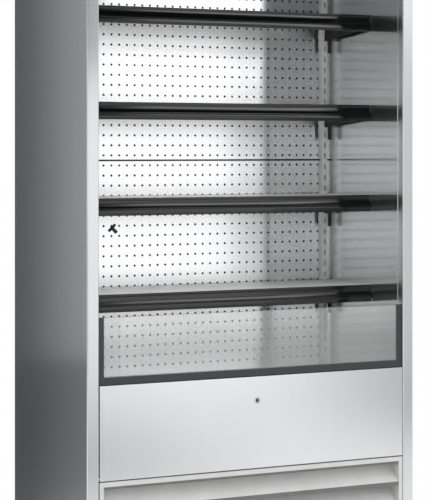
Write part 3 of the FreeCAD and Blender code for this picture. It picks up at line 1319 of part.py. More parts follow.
def control_panel():
    """Panel in the fascia with a display window, two buttons and the rocker of the lamp switch."""
    case = block("control_case", ("control_low_x", "control_high_x"),
                 ("control_y", "front_y + control_depth"), ("control_top_z - control_height", "control_top_z"))
    window = block("display_window", ("rocker_x + rocker_width", "rocker_x + rocker_width + window_width"),
                   ("front_y", "control_y + button_rise"),
                   ("control_mid_z - window_height / 2", "control_mid_z + window_height / 2"))
    reach = "button_size / 2"
    holes = []
    for place, name in enumerate(("button_up", "button_down")):
        x = f"control_high_x - (button_gap + button_size) * {place + 0.5} - button_gap / 2"
        holes.append(block(
            name + "_hole",
            (f"{x} - {reach} - clearance", f"{x} + {reach} + clearance"),
            ("front_y", "front_y + button_depth + button_travel + clearance / 2"),
            (f"control_mid_z - {reach} - clearance", f"control_mid_z + {reach} + clearance"),
        ))
        block(name, (f"{x} - {reach}", f"{x} + {reach}"), ("front_y", "front_y + button_depth"),
              (f"control_mid_z - {reach}", f"control_mid_z + {reach}"))
    half = "rocker_width / 2 + clearance"
    rise = "rocker_height / 2"
    well = block("rocker_well", (f"rocker_x - ({half})", f"rocker_x + {half}"),
                 ("front_y", "front_y + control_depth - seat_gap"),
                 (f"control_mid_z - {rise}", f"control_mid_z + {rise}"))
    pin_bore = rod("rocker_bore", "x", "rocker_x - rocker_width", "rocker_y", "control_mid_z",
                   "rocker_pin + running_fit", "2 * rocker_width")
    cut("control_panel", case, window, well, pin_bore, *holes)

    owner = body("rocker_key")
    key = pad(owner, outline(owner, "YZ_Plane", "-rocker_width / 2", [[
        ("-rocker_depth / 2", "-rocker_face / 2"),
        ("-rocker_depth / 2 + button_rise", "0"),
        ("-rocker_depth / 2", "rocker_face / 2"),
        ("rocker_depth / 2", "rocker_back / 2"),
        ("rocker_depth / 2", "-rocker_back / 2"),
    ]]), "rocker_width")
    round_edges(owner, key, "button_rise / 2",
                lambda edge: runs_along(edge, "x") and edge.BoundBox.YMin < 1 - mm("rocker_depth") / 2
                and abs(edge.BoundBox.ZMin) > 1)
    pins = rod("rocker_pins", "x", "-rocker_width / 2 - rocker_pin", "0", "0", "rocker_pin",
               "rocker_width + 2 * rocker_pin")
    switch = fuse("lamp_switch", owner, pins)
    switch.Placement = FreeCAD.Placement(FreeCAD.Vector(), FreeCAD.Rotation(FreeCAD.Vector(1, 0, 0), 1))
    switch.setExpression("Placement.Rotation.Angle", fx("rocker_rest"))
    at(switch, x="rocker_x", y="rocker_y", z="control_mid_z")


def temperature_probe():
    """Probe and its clip, which crosses the probe, on the back panel under the third shelf."""
    radius = mm("probe_radius")
    length = mm("probe_length")
    middle = FreeCAD.Vector(mm("probe_x"), mm("panel_y") - radius, mm("probe_height"))
    slant = FreeCAD.Vector(1, 0, 1).normalize()
    bulb = Part.makeCylinder(radius, length, middle - slant * length / 2, slant)
    corner = FreeCAD.Vector(mm("clip_start"), -radius, -mm("clip_width") / 2)
    clip = Part.makeBox(mm("clip_length"), radius, mm("clip_width"), corner)
    clip.rotate(FreeCAD.Vector(), FreeCAD.Vector(0, 1, 0), 45)
    clip.translate(FreeCAD.Vector(middle.x, mm("panel_y"), middle.z))
    coded("temperature_probe", bulb.fuse(clip))


def evaporator_motors():
    y = "plate_y + skin"
    motors = [
        fan_motor(f"evaporator_motor_{n}", "evap_fan_radius + tip_gap + arm_width", f"{side} * evap_fan_x", y,
                  "evap_fan_z")
        for n, side in enumerate((LEFT, RIGHT))
    ]
    group("evaporator_motors", *motors)


side_panel("left_side_panel", LEFT)
side_panel("right_side_panel", RIGHT)
insulation()
inner_liner()
side_liners()
rear_panel()
canopy_cover()
canopy_underside()
honeycomb()
base_frame()
for foot in FEET:
    levelling_foot(*foot)
back_panels()
uprights()
for count in range(1, SHELF_COUNT + 1):
    shelf(count)
riser()
access_panel()
lock_cam()
louvre_grille()
base_deck()
return_grille()
fan_plate()
evaporator_motors()
axial_fan("evaporator_fan_left", "evap_fan_radius", "-evap_fan_x", "plate_y - clearance", "evap_fan_z")
axial_fan("evaporator_fan_right", "evap_fan_radius", "evap_fan_x", "plate_y - clearance", "evap_fan_z")
coils()
condenser_shroud()
fan_motor("condenser_motor", "cond_height / 2 - tray_wall", "cond_x", "shroud_back_y", "cond_fan_z")
axial_fan("condenser_fan", "cond_fan_radius", "cond_x", "shroud_back_y - 2 * tray_wall", "cond_fan_z")
compressor()
refrigerant_pipes()
drip_tray()
control_box()
cord_gland()
lamp()
blind()
control_panel()
temperature_probe()

NODES = (
    ["left_side_panel", "right_side_panel", "insulation", "inner_liner", "side_liners", "rear_panel"]
    + ["canopy_cover", "canopy_underside", "honeycomb", "base_frame"]
    + [name for name, _, _ in FEET]
    + ["lower_back_panel", "upper_back_panel", "uprights"]
    + [f"shelf_{n}_{piece}" for n in range(1, SHELF_COUNT + 1) for piece in ("deck", "brackets", "strip")]
    + ["riser_frame", "glass_riser", "access_panel", "lock_cam", "louvre_grille"]
    + ["base_deck", "return_grille", "fan_plate", "evaporator_motors"]
    + ["evaporator_fan_left", "evaporator_fan_right", "evaporator_coil"]
    + ["condenser_coil", "condenser_shroud", "condenser_motor", "condenser_fan"]
    + ["compressor", "refrigerant_pipes", "drip_tray", "control_box", "cord_gland"]
    + ["lamp", "blind_cassette", "blind_roller", "blind_fabric", "blind_bar"]
    + ["control_panel", "button_down", "button_up", "lamp_switch", "temperature_probe"]
)

doc.recompute()
for item in doc.Objects:
    if {"Invalid", "Error"} & set(item.State):
        raise RuntimeError(f"{item.Name} is not up to date: {item.State}")
nodes = {name: doc.getObject(name) for name in NODES}
for name, item in nodes.items():
    item.Label = name
    if item.Shape.isNull() or not item.Shape.isValid():
        raise RuntimeError(f"{name} has no valid shape")

os.makedirs("parts", exist_ok=True)
for name, item in nodes.items():
    item.Shape.exportStep(f"parts/{name}.step")
print(len(nodes), "sub-parts")
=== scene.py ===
import math

import bmesh
import bpy
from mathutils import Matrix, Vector


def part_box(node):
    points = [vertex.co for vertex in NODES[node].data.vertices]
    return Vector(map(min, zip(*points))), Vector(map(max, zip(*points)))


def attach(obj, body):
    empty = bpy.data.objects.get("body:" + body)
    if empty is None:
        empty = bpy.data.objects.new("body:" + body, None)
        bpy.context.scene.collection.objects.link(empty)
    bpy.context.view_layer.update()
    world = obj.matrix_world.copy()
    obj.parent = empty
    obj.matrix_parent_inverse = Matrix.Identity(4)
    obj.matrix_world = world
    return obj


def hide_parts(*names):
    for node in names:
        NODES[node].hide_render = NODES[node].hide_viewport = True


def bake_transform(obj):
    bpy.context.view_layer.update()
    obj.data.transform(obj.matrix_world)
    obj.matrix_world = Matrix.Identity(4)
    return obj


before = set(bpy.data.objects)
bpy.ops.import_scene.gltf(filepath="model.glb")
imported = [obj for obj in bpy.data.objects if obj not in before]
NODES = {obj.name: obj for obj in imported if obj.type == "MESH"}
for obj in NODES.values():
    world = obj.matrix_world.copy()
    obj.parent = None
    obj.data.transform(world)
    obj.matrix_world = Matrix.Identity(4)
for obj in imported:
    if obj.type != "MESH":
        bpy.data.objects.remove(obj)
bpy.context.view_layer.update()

# Open multideck display fridge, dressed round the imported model. Metres, +Z up, the open front towards -Y.
# Sizes of small things are named in millimetres, and MM turns them to metres where they are used.
MM = 0.001


# Shader making.
def linear(code):
    """An sRGB hex colour as linear RGBA."""
    channels = [int(code[n:n + 2], 16) / 255 for n in (1, 3, 5)]
    return [c / 12.92 if c <= 0.04045 else ((c + 0.055) / 1.055) ** 2.4 for c in channels] + [1.0]


def add(tree, kind, inputs=None, **settings):
    """Adds one node with its settings. An input takes a plain value, a socket, or a node's first output."""
    node = tree.nodes.new("ShaderNode" + kind)
    for name, value in settings.items():
        setattr(node, name, value)
    free = [socket for socket in node.inputs if socket.enabled]
    for name, value in (inputs or {}).items():
        socket = free[name] if isinstance(name, int) else next(s for s in free if s.name == name)
        if isinstance(value, bpy.types.Node):
            value = next(output for output in value.outputs if output.enabled)
        if isinstance(value, bpy.types.NodeSocket):
            tree.links.new(value, socket)
        else:
            socket.default_value = value
    return node


def made_of(name, finish, *settings):
    """A material whose surface is built by one of the finishes below."""
    material = bpy.data.materials.new(name)
    material.use_nodes = True
    tree = material.node_tree
    tree.nodes.clear()
    add(tree, "OutputMaterial", {"Surface": finish(tree, *settings)})
    return material


def per_mm(*sizes):
    """Texture scale that gives features of these sizes, in millimetres, along X, Y and Z."""
    return [1 / (size * MM) for size in sizes]


# Noise gathers round its middle, so the range that is mapped runs from 0.3 to 0.7.
LOW, HIGH = 0.3, 0.7

# Roughness where a finish's pattern is lowest and where it is highest, as shares of its mean roughness.
GROUND = (0.985, 1.015)
ROLLED = (0.92, 1.08)
DRAWN = (0.85, 1.2)
MOULDED = (0.9, 1.1)
BAKED = (1.1, 0.92)


def uneven(pattern, roughness, shares, lowest=0.0, highest=1.0):
    """Inputs that map a pattern to roughness, between two shares of its mean."""
    return {
        "Value": pattern, "From Min": lowest, "From Max": highest,
        "To Min": roughness * shares[0], "To Max": roughness * shares[1],
    }


# Grid of holes in the back panels, along X and Z, counted from the seam between them, in metres.
HOLE_PITCH = (23.4 * MM, 1.0, 28.4 * MM)
HOLE_SEAM = (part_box("lower_back_panel")[1][2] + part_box("upper_back_panel")[0][2]) / 2
CELL_MIDDLE = (0.5, 0.0, 0.5)
# Painted shade, from where each mark is full to where it ends: a ring round each hole, from its middle,
# which paints the dark that the rolled rim reflects, and a band along the seam, from its middle, which paints
# the shade in the gap between the folded edges of the panels. Real rims and gaps are about 1 mm wide. These
# are wider, so that they show.
HOLE_SHADE_FULL, HOLE_SHADE_END = 2.5 * MM, 4.0 * MM
SEAM_SHADE_FULL, SEAM_SHADE_END = 1.5 * MM, 3.5 * MM


def painted_shade_edges(tree):
    """Share of painted shade, one at the holes and at the seam, and none further on."""
    place = add(tree, "TexCoord").outputs["Object"]
    cell = add(tree, "Mapping", {
        "Vector": place, "Location": (0, 0, -HOLE_SEAM / HOLE_PITCH[2]),
        "Scale": (1 / HOLE_PITCH[0], 0, 1 / HOLE_PITCH[2]),
    })
    part = add(tree, "VectorMath", {0: cell}, operation="FRACTION")
    offset = add(tree, "VectorMath", {0: part, 1: CELL_MIDDLE}, operation="SUBTRACT")
    reach = add(tree, "VectorMath", {0: offset, 1: HOLE_PITCH}, operation="MULTIPLY")
    distance = add(tree, "VectorMath", {0: reach}, operation="LENGTH").outputs["Value"]
    hole_shade = add(tree, "MapRange", {
        "Value": distance, "From Min": HOLE_SHADE_FULL, "From Max": HOLE_SHADE_END, "To Min": 1.0, "To Max": 0.0,
    })
    height = add(tree, "SeparateXYZ", {"Vector": place}).outputs["Z"]
    above_seam = add(tree, "Math", {0: height, 1: HOLE_SEAM}, operation="SUBTRACT")
    from_seam = add(tree, "Math", {0: above_seam}, operation="ABSOLUTE")
    seam_shade = add(tree, "MapRange", {
        "Value": from_seam, "From Min": SEAM_SHADE_FULL, "From Max": SEAM_SHADE_END, "To Min": 1.0, "To Max": 0.0,
    })
    return add(tree, "Math", {0: hole_shade, 1: seam_shade}, operation="MAXIMUM")


# Finishes. The sizes of a finish's pattern, in millimetres, are the last of its settings.
# Which way a grinding belt ran: the size of its scratches along X, Y and Z, and the axis that they lie along.
UPRIGHT = ((3.0, 3.0, 500.0), "Z")
LEVEL = ((500.0, 3.0, 3.0), "X")


def brushed_stainless(tree, dark, light, roughness, smear, run=UPRIGHT, edge=None,
                      wave=(260.0, 260.0, 420.0)):
    """Stainless sheet, belt-ground in one direction. The scratches smear reflections across themselves, so a
    hard edge in the room becomes a soft band. A real scratch is 0.05 mm wide. These are 3 mm wide, so that
    they show."""
    scratch, axis = run
    place = add(tree, "TexCoord").outputs["Object"]
    lines = add(tree, "TexNoise", {
        "Vector": add(tree, "Mapping", {"Vector": place, "Scale": per_mm(*scratch)}),
        "Scale": 1.0, "Detail": 3.0,
    })
    rolling = add(tree, "TexNoise", {
        "Vector": add(tree, "Mapping", {"Vector": place, "Scale": per_mm(*wave)}),
        "Scale": 1.0, "Detail": 2.0,
    })
    blend = add(tree, "Math", {0: lines, 1: rolling}, operation="MULTIPLY")
    tone = add(tree, "MapRange", {"Value": blend, "From Min": LOW ** 2, "From Max": HIGH ** 2})
    colour = add(tree, "Mix", {"Factor": tone, "A": linear(dark), "B": linear(light)}, data_type="RGBA")
    # Painted shade round the holes and along the seam, in the edge's dark grey.
    if edge:
        share = painted_shade_edges(tree)
        colour = add(tree, "Mix", {"Factor": share, "A": colour, "B": linear(edge)}, data_type="RGBA")
    gloss = add(tree, "MapRange", uneven(lines, roughness, GROUND, LOW, HIGH))
    return add(tree, "BsdfPrincipled", {
        "Base Color": colour, "Metallic": 1.0, "Roughness": gloss, "Anisotropic": smear,
        "Tangent": add(tree, "Tangent", direction_type="RADIAL", axis=axis),
    })


def bright_annealed_stainless(tree, dark, light, roughness, wave=(170.0, 170.0, 260.0)):
    """Sheet with the mill's bright finish: nearly a mirror, slightly wavy from rolling over 200 mm or so."""
    place = add(tree, "TexCoord").outputs["Object"]
    waves = add(tree, "TexNoise", {
        "Vector": add(tree, "Mapping", {"Vector": place, "Scale": per_mm(*wave)}),
        "Scale": 1.0, "Detail": 2.0,
    })
    film = add(tree, "MapRange", {"Value": waves, "From Min": LOW, "From Max": HIGH})
    colour = add(tree, "Mix", {"Factor": film, "A": linear(dark), "B": linear(light)}, data_type="RGBA")
    gloss = add(tree, "MapRange", uneven(film, roughness, ROLLED))
    return add(tree, "BsdfPrincipled", {
        "Base Color": colour, "Metallic": 1.0, "Roughness": gloss,
        "Normal": add(tree, "Bump", {"Height": waves, "Strength": 0.5, "Distance": 0.3 * MM}),
    })


def hot_dip_zinc(tree, dark, light, bright=0.4, dull=0.55, crystal=9.0):
    """Galvanised steel: dull blue-grey zinc crystals about 9 mm across, each a little lighter or darker."""
    place = add(tree, "TexCoord").outputs["Object"]
    crystals = add(tree, "TexVoronoi", {"Vector": place, "Scale": per_mm(crystal)[0]})
    shade = add(tree, "SeparateColor", {"Color": crystals.outputs["Color"]})
    colour = add(tree, "Mix", {"Factor": shade, "A": linear(dark), "B": linear(light)}, data_type="RGBA")
    gloss = add(tree, "MapRange", {"Value": shade, "To Min": bright, "To Max": dull})
    return add(tree, "BsdfPrincipled", {"Base Color": colour, "Metallic": 0.9, "Roughness": gloss})


def extruded_abs(tree, dark, light, roughness, line=(900.0, 1.6, 1.6)):
    """Black ABS drawn through a die: satin, with faint lines 1.6 mm apart that run along its length."""
    place = add(tree, "TexCoord").outputs["Object"]
    lines = add(tree, "TexNoise", {
        "Vector": add(tree, "Mapping", {"Vector": place, "Scale": per_mm(*line)}),
        "Scale": 1.0, "Detail": 4.0,
    })
    tone = add(tree, "MapRange", {"Value": lines, "From Min": LOW, "From Max": HIGH})
    colour = add(tree, "Mix", {"Factor": tone, "A": linear(dark), "B": linear(light)}, data_type="RGBA")
    return add(tree, "BsdfPrincipled", {
        "Base Color": colour, "Roughness": add(tree, "MapRange", uneven(tone, roughness, DRAWN)),
        "IOR": 1.53,
        "Normal": add(tree, "Bump", {"Height": lines, "Distance": 0.03 * MM}),
    })


def moulded_plastic(tree, dark, light, roughness, pit=0.6):
    """Injection-moulded ABS or nylon: an even spark-eroded texture of fine pits, with soft highlights."""
    place = add(tree, "TexCoord").outputs["Object"]
    pits = add(tree, "TexNoise", {"Vector": place, "Scale": per_mm(pit)[0], "Detail": 2.0})
    tone = add(tree, "MapRange", {"Value": pits, "From Min": LOW, "From Max": HIGH})
    colour = add(tree, "Mix", {"Factor": tone, "A": linear(dark), "B": linear(light)}, data_type="RGBA")
    return add(tree, "BsdfPrincipled", {
        "Base Color": colour, "Roughness": add(tree, "MapRange", uneven(tone, roughness, MOULDED)),
        "IOR": 1.53,
        "Normal": add(tree, "Bump", {"Height": pits, "Distance": 0.03 * MM}),
    })


def powder_coat(tree, dark, light, roughness, peel=1.5, patch=60.0):
    """Baked powder paint: orange peel about 1.5 mm across breaks up its highlights, and dust films dull it in
    patches of 60 mm or so."""
    place = add(tree, "TexCoord").outputs["Object"]
    skin = add(tree, "TexNoise", {"Vector": place, "Scale": per_mm(peel)[0], "Detail": 2.0})
    film = add(tree, "TexNoise", {"Vector": place, "Scale": per_mm(patch)[0], "Detail": 3.0})
    tone = add(tree, "MapRange", {"Value": film, "From Min": LOW, "From Max": HIGH})
    colour = add(tree, "Mix", {"Factor": tone, "A": linear(dark), "B": linear(light)}, data_type="RGBA")
    return add(tree, "BsdfPrincipled", {
        "Base Color": colour, "Roughness": add(tree, "MapRange", uneven(tone, roughness, BAKED)),
        "IOR": 1.5,
        "Normal": add(tree, "Bump", {"Height": skin, "Distance": 0.05 * MM}),
    })


def mill_aluminium(tree, dark, light, roughness, line=(400.0, 2.0, 2.0)):
    """Extruded or rolled aluminium with a satin skin and die lines about 2 mm apart along its run."""
    place = add(tree, "TexCoord").outputs["Object"]
    lines = add(tree, "TexNoise", {
        "Vector": add(tree, "Mapping", {"Vector": place, "Scale": per_mm(*line)}),
        "Scale": 1.0, "Detail": 4.0,
    })
    tone = add(tree, "MapRange", {"Value": lines, "From Min": LOW, "From Max": HIGH})
    colour = add(tree, "Mix", {"Factor": tone, "A": linear(dark), "B": linear(light)}, data_type="RGBA")
    gloss = add(tree, "MapRange", uneven(tone, roughness, DRAWN))
    return add(tree, "BsdfPrincipled", {"Base Color": colour, "Metallic": 1.0, "Roughness": gloss})


# Levels of the noise between which copper goes from bright to brown.
STILL_BRIGHT, ALL_BROWN = 0.45, 0.65


def drawn_copper(tree, fresh, tarnish, bright=0.22, dull=0.42, patch=25.0):
    """Drawn copper pipe: bright where it was handled, with brown tarnish in patches of 25 mm or so."""
    place = add(tree, "TexCoord").outputs["Object"]
    patches = add(tree, "TexNoise", {"Vector": place, "Scale": per_mm(patch)[0], "Detail": 4.0})
    age = add(tree, "MapRange", {"Value": patches, "From Min": STILL_BRIGHT, "From Max": ALL_BROWN})
    colour = add(tree, "Mix", {"Factor": age, "A": linear(fresh), "B": linear(tarnish)}, data_type="RGBA")
    gloss = add(tree, "MapRange", {"Value": age, "To Min": bright, "To Max": dull})
    return add(tree, "BsdfPrincipled", {"Base Color": colour, "Metallic": 1.0, "Roughness": gloss})


def poured_foam(tree, dark, light, bubble=0.8):
    """Polyurethane foam poured between the skins: cream, matt, with closed cells of 0.8 mm."""
    place = add(tree, "TexCoord").outputs["Object"]
    cells = add(tree, "TexNoise", {"Vector": place, "Scale": per_mm(bubble)[0], "Detail": 3.0})
    tone = add(tree, "MapRange", {"Value": cells, "From Min": LOW, "From Max": HIGH})
    colour = add(tree, "Mix", {"Factor": tone, "A": linear(dark), "B": linear(light)}, data_type="RGBA")
    return add(tree, "BsdfPrincipled", {
        "Base Color": colour,
        "Roughness": 0.9,
        "Normal": add(tree, "Bump", {"Height": cells, "Distance": 0.3 * MM}),
    })


def float_glass(tree, clear, film, haze=0.02, wipe=(140.0, 60.0, 45.0)):
    """Clear toughened float glass: nearly colourless face on, with a whisper of film left by wiping. The film
    catches a tenth of the light, and the rest goes through."""
    place = add(tree, "TexCoord").outputs["Object"]
    wiping = add(tree, "TexNoise", {
        "Vector": add(tree, "Mapping", {"Vector": place, "Scale": per_mm(*wipe)}),
        "Scale": 1.0, "Detail": 3.0,
    })
    tone = add(tree, "MapRange", {"Value": wiping, "From Min": LOW, "From Max": HIGH})
    colour = add(tree, "Mix", {"Factor": tone, "A": linear(clear), "B": linear(film)}, data_type="RGBA")
    gloss = add(tree, "MapRange", {"Value": tone, "To Min": 0.0, "To Max": haze})
    return add(tree, "BsdfPrincipled", {
        "Base Color": colour, "Roughness": gloss, "IOR": 1.52, "Transmission Weight": 0.9,
    })


# Radians that a wave texture turns in one metre at a scale of 1.
WAVE_TURN = 20


def metallised_weave(tree, dark, light, tape=1.2):
    """Aluminised polyester blind cloth: a plain weave of 1.2 mm tapes that glints and blocks the light."""
    place = add(tree, "TexCoord").outputs["Object"]
    tapes = 2 * math.pi / (WAVE_TURN * tape * MM)
    warp = add(tree, "TexWave", {"Vector": place, "Scale": tapes, "Distortion": 0.3}, bands_direction="X")
    weft = add(tree, "TexWave", {"Vector": place, "Scale": tapes, "Distortion": 0.3}, bands_direction="Z")
    weave = add(tree, "Math", {0: warp, 1: weft}, operation="MULTIPLY")
    colour = add(tree, "Mix", {"Factor": weave, "A": linear(dark), "B": linear(light)}, data_type="RGBA")
    return add(tree, "BsdfPrincipled", {
        "Base Color": colour,
        "Metallic": 0.35, "Roughness": 0.5, "Sheen Weight": 0.2,
        "Normal": add(tree, "Bump", {"Height": weave, "Distance": 0.15 * MM}),
    })


def opal_acrylic(tree, dark, light, bright=0.2, dull=0.28, cloud=30.0, depth=4.0):
    """Opal acrylic over the lamp: milky, even and glossy, with slow clouds of 30 mm in its depth."""
    place = add(tree, "TexCoord").outputs["Object"]
    clouds = add(tree, "TexNoise", {"Vector": place, "Scale": per_mm(cloud)[0], "Detail": 2.0})
    tone = add(tree, "MapRange", {"Value": clouds, "From Min": LOW, "From Max": HIGH})
    colour = add(tree, "Mix", {"Factor": tone, "A": linear(dark), "B": linear(light)}, data_type="RGBA")
    return add(tree, "BsdfPrincipled", {
        "Base Color": colour,
        "Roughness": add(tree, "MapRange", {"Value": tone, "To Min": bright, "To Max": dull}),
        "IOR": 1.49, "Subsurface Weight": 0.4, "Subsurface Scale": depth * MM,
    })


# The greys of plain stainless sheet, between which its scratches lie.
STEEL = ("#dde0e1", "#e4e6e7")
MATERIALS = {
    # Sides with their front posts: satin, so the room shows in them as broad soft bands.
    "side_sheet": made_of("brushed_stainless_side", brushed_stainless, *STEEL, 0.28, 0.7),
    # Access panel and canopy: a little paler, and smeared less.
    "front_sheet": made_of("brushed_stainless_front", brushed_stainless, "#e6e8e9", "#ebedee", 0.26, 0.5),
    # Side liners: ground finer, so the shelves show in them as blurred mirror images.
    "liner_sheet": made_of("brushed_stainless_liner", brushed_stainless, "#eceeee", "#f2f4f4", 0.18, 1.0),
    # Back panels: ground level, so reflections run up and down in them, with crisp upright edges. Dark grey
    # painted shade lies round their holes and along their seam.
    "back_sheet": made_of("brushed_stainless_back", brushed_stainless, "#e6e7e8", "#ecedee", 0.19, 1.0, LEVEL,
                          "#2a2c2e"),
    # Hems of the liners: bright lines.
    "bright_sheet": made_of("bright_annealed_trim", bright_annealed_stainless, "#dfe0e0", "#e9eaea", 0.12),
    # Inner liner and fan plate: stainless drawn nearly black as painted shade, because little light reaches
    # them through the holes.
    "duct_sheet": made_of("painted_shade_duct_stainless", brushed_stainless, "#1e2021", "#2a2d2e", 0.38, 0.3, LEVEL),
    "deck_sheet": made_of("brushed_stainless_deck", brushed_stainless, *STEEL, 0.3, 0.7, LEVEL),
    "zinc": made_of("hot_dip_zinc", hot_dip_zinc, "#8e9395", "#b2b6b7"),
    "upright_paint": made_of("white_powder_coat", powder_coat, "#f3f3f2", "#fafaf9", 0.3),
    "grille_paint": made_of("pale_grey_powder_coat", powder_coat, "#d8d8d7", "#e0e0df", 0.34),
    # Lips of the louvres: the grille's coat, drawn darker with the shade that falls on them painted in, so
    # that they read as dark lines between slats.
    "lip_painted_shade": made_of("lip_painted_shade_coat", powder_coat, "#6d6f70", "#777979", 0.4),
    "shelf_paint": made_of("pale_powder_coat", powder_coat, "#eaebea", "#f2f2f0", 0.35),
    "black_paint": made_of("black_powder_coat", powder_coat, "#0f1011", "#161718", 0.55),
    # Ticket strips: polished by the die, so their beads catch a thin line of light.
    "strip_black": made_of("black_abs_strip", extruded_abs, "#08090a", "#101112", 0.11),
    "frame_grey": made_of("dark_grey_abs_frame", extruded_abs, "#2c2e30", "#383a3c", 0.4),
    "black_nylon": made_of("black_nylon", moulded_plastic, "#141516", "#1f2022", 0.45),
    "pale_abs": made_of("pale_abs", moulded_plastic, "#d4d4d0", "#e2e2de", 0.4),
    "aluminium": made_of("mill_aluminium", mill_aluminium, "#c4c6c8", "#d8dadb", 0.35),
    # Fins of the coils: thin sheets 2 mm apart along X, which read as fine upright lines.
    "fin_stock": made_of("aluminium_fin_stock", mill_aluminium, "#b4b7b9", "#d0d3d4", 0.4,
                         (2.0, 400.0, 400.0)),
    # Lock barrel: chrome dulled by keys.
    "lock_chrome": made_of("worn_chrome_lock", bright_annealed_stainless, "#b9bcbe", "#c6c9ca", 0.22),
    "copper": made_of("drawn_copper", drawn_copper, "#cd8560", "#8a5238"),
    "foam": made_of("poured_foam", poured_foam, "#c9b98a", "#e0d3a8"),
    "glass": made_of("clear_float_glass", float_glass, "#ffffff", "#fcfdfd"),
    "blind_cloth": made_of("metallised_weave", metallised_weave, "#84898d", "#bcc1c4"),
    "opal": made_of("opal_acrylic", opal_acrylic, "#e7e7e2", "#f4f4f0"),
    # Window of the controller: glossy and nearly black, with slow waves of 8 mm in place of pits.
    "display": made_of("smoked_acrylic_display", moulded_plastic, "#0b0708", "#150c0e", 0.08, 8.0),
}

# The finish of each node, by the start of its name; the first match counts.
FINISHES = (
    ("left_side_panel", "side_sheet"), ("right_side_panel", "side_sheet"),
    ("access_panel", "front_sheet"), ("louvre_grille", "grille_paint"), ("canopy_cover", "front_sheet"),
    ("side_liners", "liner_sheet"), ("lower_back_panel", "back_sheet"), ("upper_back_panel", "back_sheet"),
    ("uprights", "upright_paint"), ("canopy_underside", "deck_sheet"), ("base_deck", "deck_sheet"),
    ("return_grille", "deck_sheet"), ("inner_liner", "duct_sheet"), ("fan_plate", "duct_sheet"),
    ("rear_panel", "zinc"), ("base_frame", "zinc"), ("condenser_shroud", "zinc"), ("foot", "zinc"),
    ("lock_cam", "lock_chrome"), ("insulation", "foam"), ("glass_riser", "glass"),
    ("riser_frame", "frame_grey"), ("honeycomb", "black_nylon"),
    ("evaporator_coil", "fin_stock"), ("condenser_coil", "fin_stock"),
    ("compressor", "black_paint"), ("refrigerant_pipes", "copper"), ("control_box", "pale_abs"),
    ("button", "pale_abs"), ("lamp_switch", "black_nylon"), ("lamp", "opal"),
    ("blind_cassette", "aluminium"), ("blind_bar", "aluminium"), ("blind_", "blind_cloth"),
)
SHELF_FINISHES = (("_deck", "shelf_paint"), ("_brackets", "black_paint"), ("_strip", "strip_black"))


def finish_of(name):
    """The material of a node. Small parts that no list names are black nylon."""
    if name.startswith("shelf_"):
        return MATERIALS[next(key for ending, key in SHELF_FINISHES if name.endswith(ending))]
    return MATERIALS[next((key for start, key in FINISHES if name.startswith(start)), "black_nylon")]


for name, item in NODES.items():
    item.data.materials.clear()
    item.data.materials.append(finish_of(name))


# Pieces that the solids keep plain.
def shaped(name, shape, material):
    """An object from a finished shape."""
    mesh = bpy.data.meshes.new(name)
    shape.to_mesh(mesh)
    shape.free()
    mesh.materials.append(MATERIALS[material])
    item = bpy.data.objects.new(name, mesh)
    bpy.context.scene.collection.objects.link(item)
    return item


def piece(name, shape, body, material):
    """An object from a finished closed shape, which rides on a body."""
    bmesh.ops.recalc_face_normals(shape, faces=shape.faces)
    item = shaped(name, shape, material)
    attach(item, body)
    return item


def skin(shape, ring, other):
    """Faces between two closed rings that have as many corners as each other."""
    for n in range(len(ring)):
        after = (n + 1) % len(ring)
        shape.faces.new((ring[n], ring[after], other[after], other[n]))


def shade_curves(item, sharp=35):
    """Smooth shading that keeps edges sharper than an angle in degrees."""
    item.data.shade_smooth()
    item.data.set_sharp_from_angle(angle=math.radians(sharp))


# Ticket strip: its section, in millimetres before the shelf's front edge and below its top. From above: the
# nose that clips over the deck, the leaning label face, the bead that holds a label's foot, a groove, and the
# lower lip with its own bead. The CAD solid has the same lips and face without the beads.
STRIP_SECTION = (
    (-3.0, 0.0), (1.6, 0.0), (3.2, 0.6), (4.0, 2.0), (4.0, 6.0), (3.4, 7.0), (2.2, 7.4), (2.0, 8.4),
    (8.6, 26.6), (10.4, 26.8), (11.2, 27.4), (11.4, 28.4), (10.8, 29.4), (9.6, 29.8), (9.6, 31.0),
    (12.6, 31.2), (13.8, 31.8), (14.2, 33.0), (14.2, 41.2), (14.9, 41.9), (14.9, 43.6), (14.0, 44.6),
    (13.8, 46.4), (12.8, 46.9), (4.2, 46.9), (4.2, 45.2), (12.4, 45.0), (12.4, 33.0), (7.8, 32.4),
    (7.6, 29.4), (0.2, 8.6), (0.2, 1.8), (-3.0, 1.8),
)
# How far the solid reaches before the shelf's edge, and the angle that keeps beads round and lips crisp.
STRIP_REACH = 15.0
STRIP_SHARP = 32
SHELVES = 4


def ticket_strip(number):
    """The strip's section drawn along the shelf, between flat ends."""
    node = f"shelf_{number}_strip"
    low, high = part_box(node)
    edge, top = low[1] + STRIP_REACH * MM, high[2]
    shape = bmesh.new()
    ends = []
    for x in (low[0], high[0]):
        ends.append([
            shape.verts.new((x, edge - before * MM, top - below * MM)) for before, below in STRIP_SECTION
        ])
    skin(shape, *ends)
    for ring in ends:
        shape.faces.new(ring)
    strip = piece(f"ticket_strip_{number}", shape, f"shelf_{number}", "strip_black")
    shade_curves(strip, STRIP_SHARP)
    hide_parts(node)


for number in range(1, SHELVES + 1):
    ticket_strip(number)


# Night blind: the stretch of cloth between the roller and the pull bar. The real one lengthens as the bar
# comes down; this one is drawn at one length.
CLOTH_ROWS = 40
CLOTH_COLUMNS = 60
HALF_GRID = 0.5


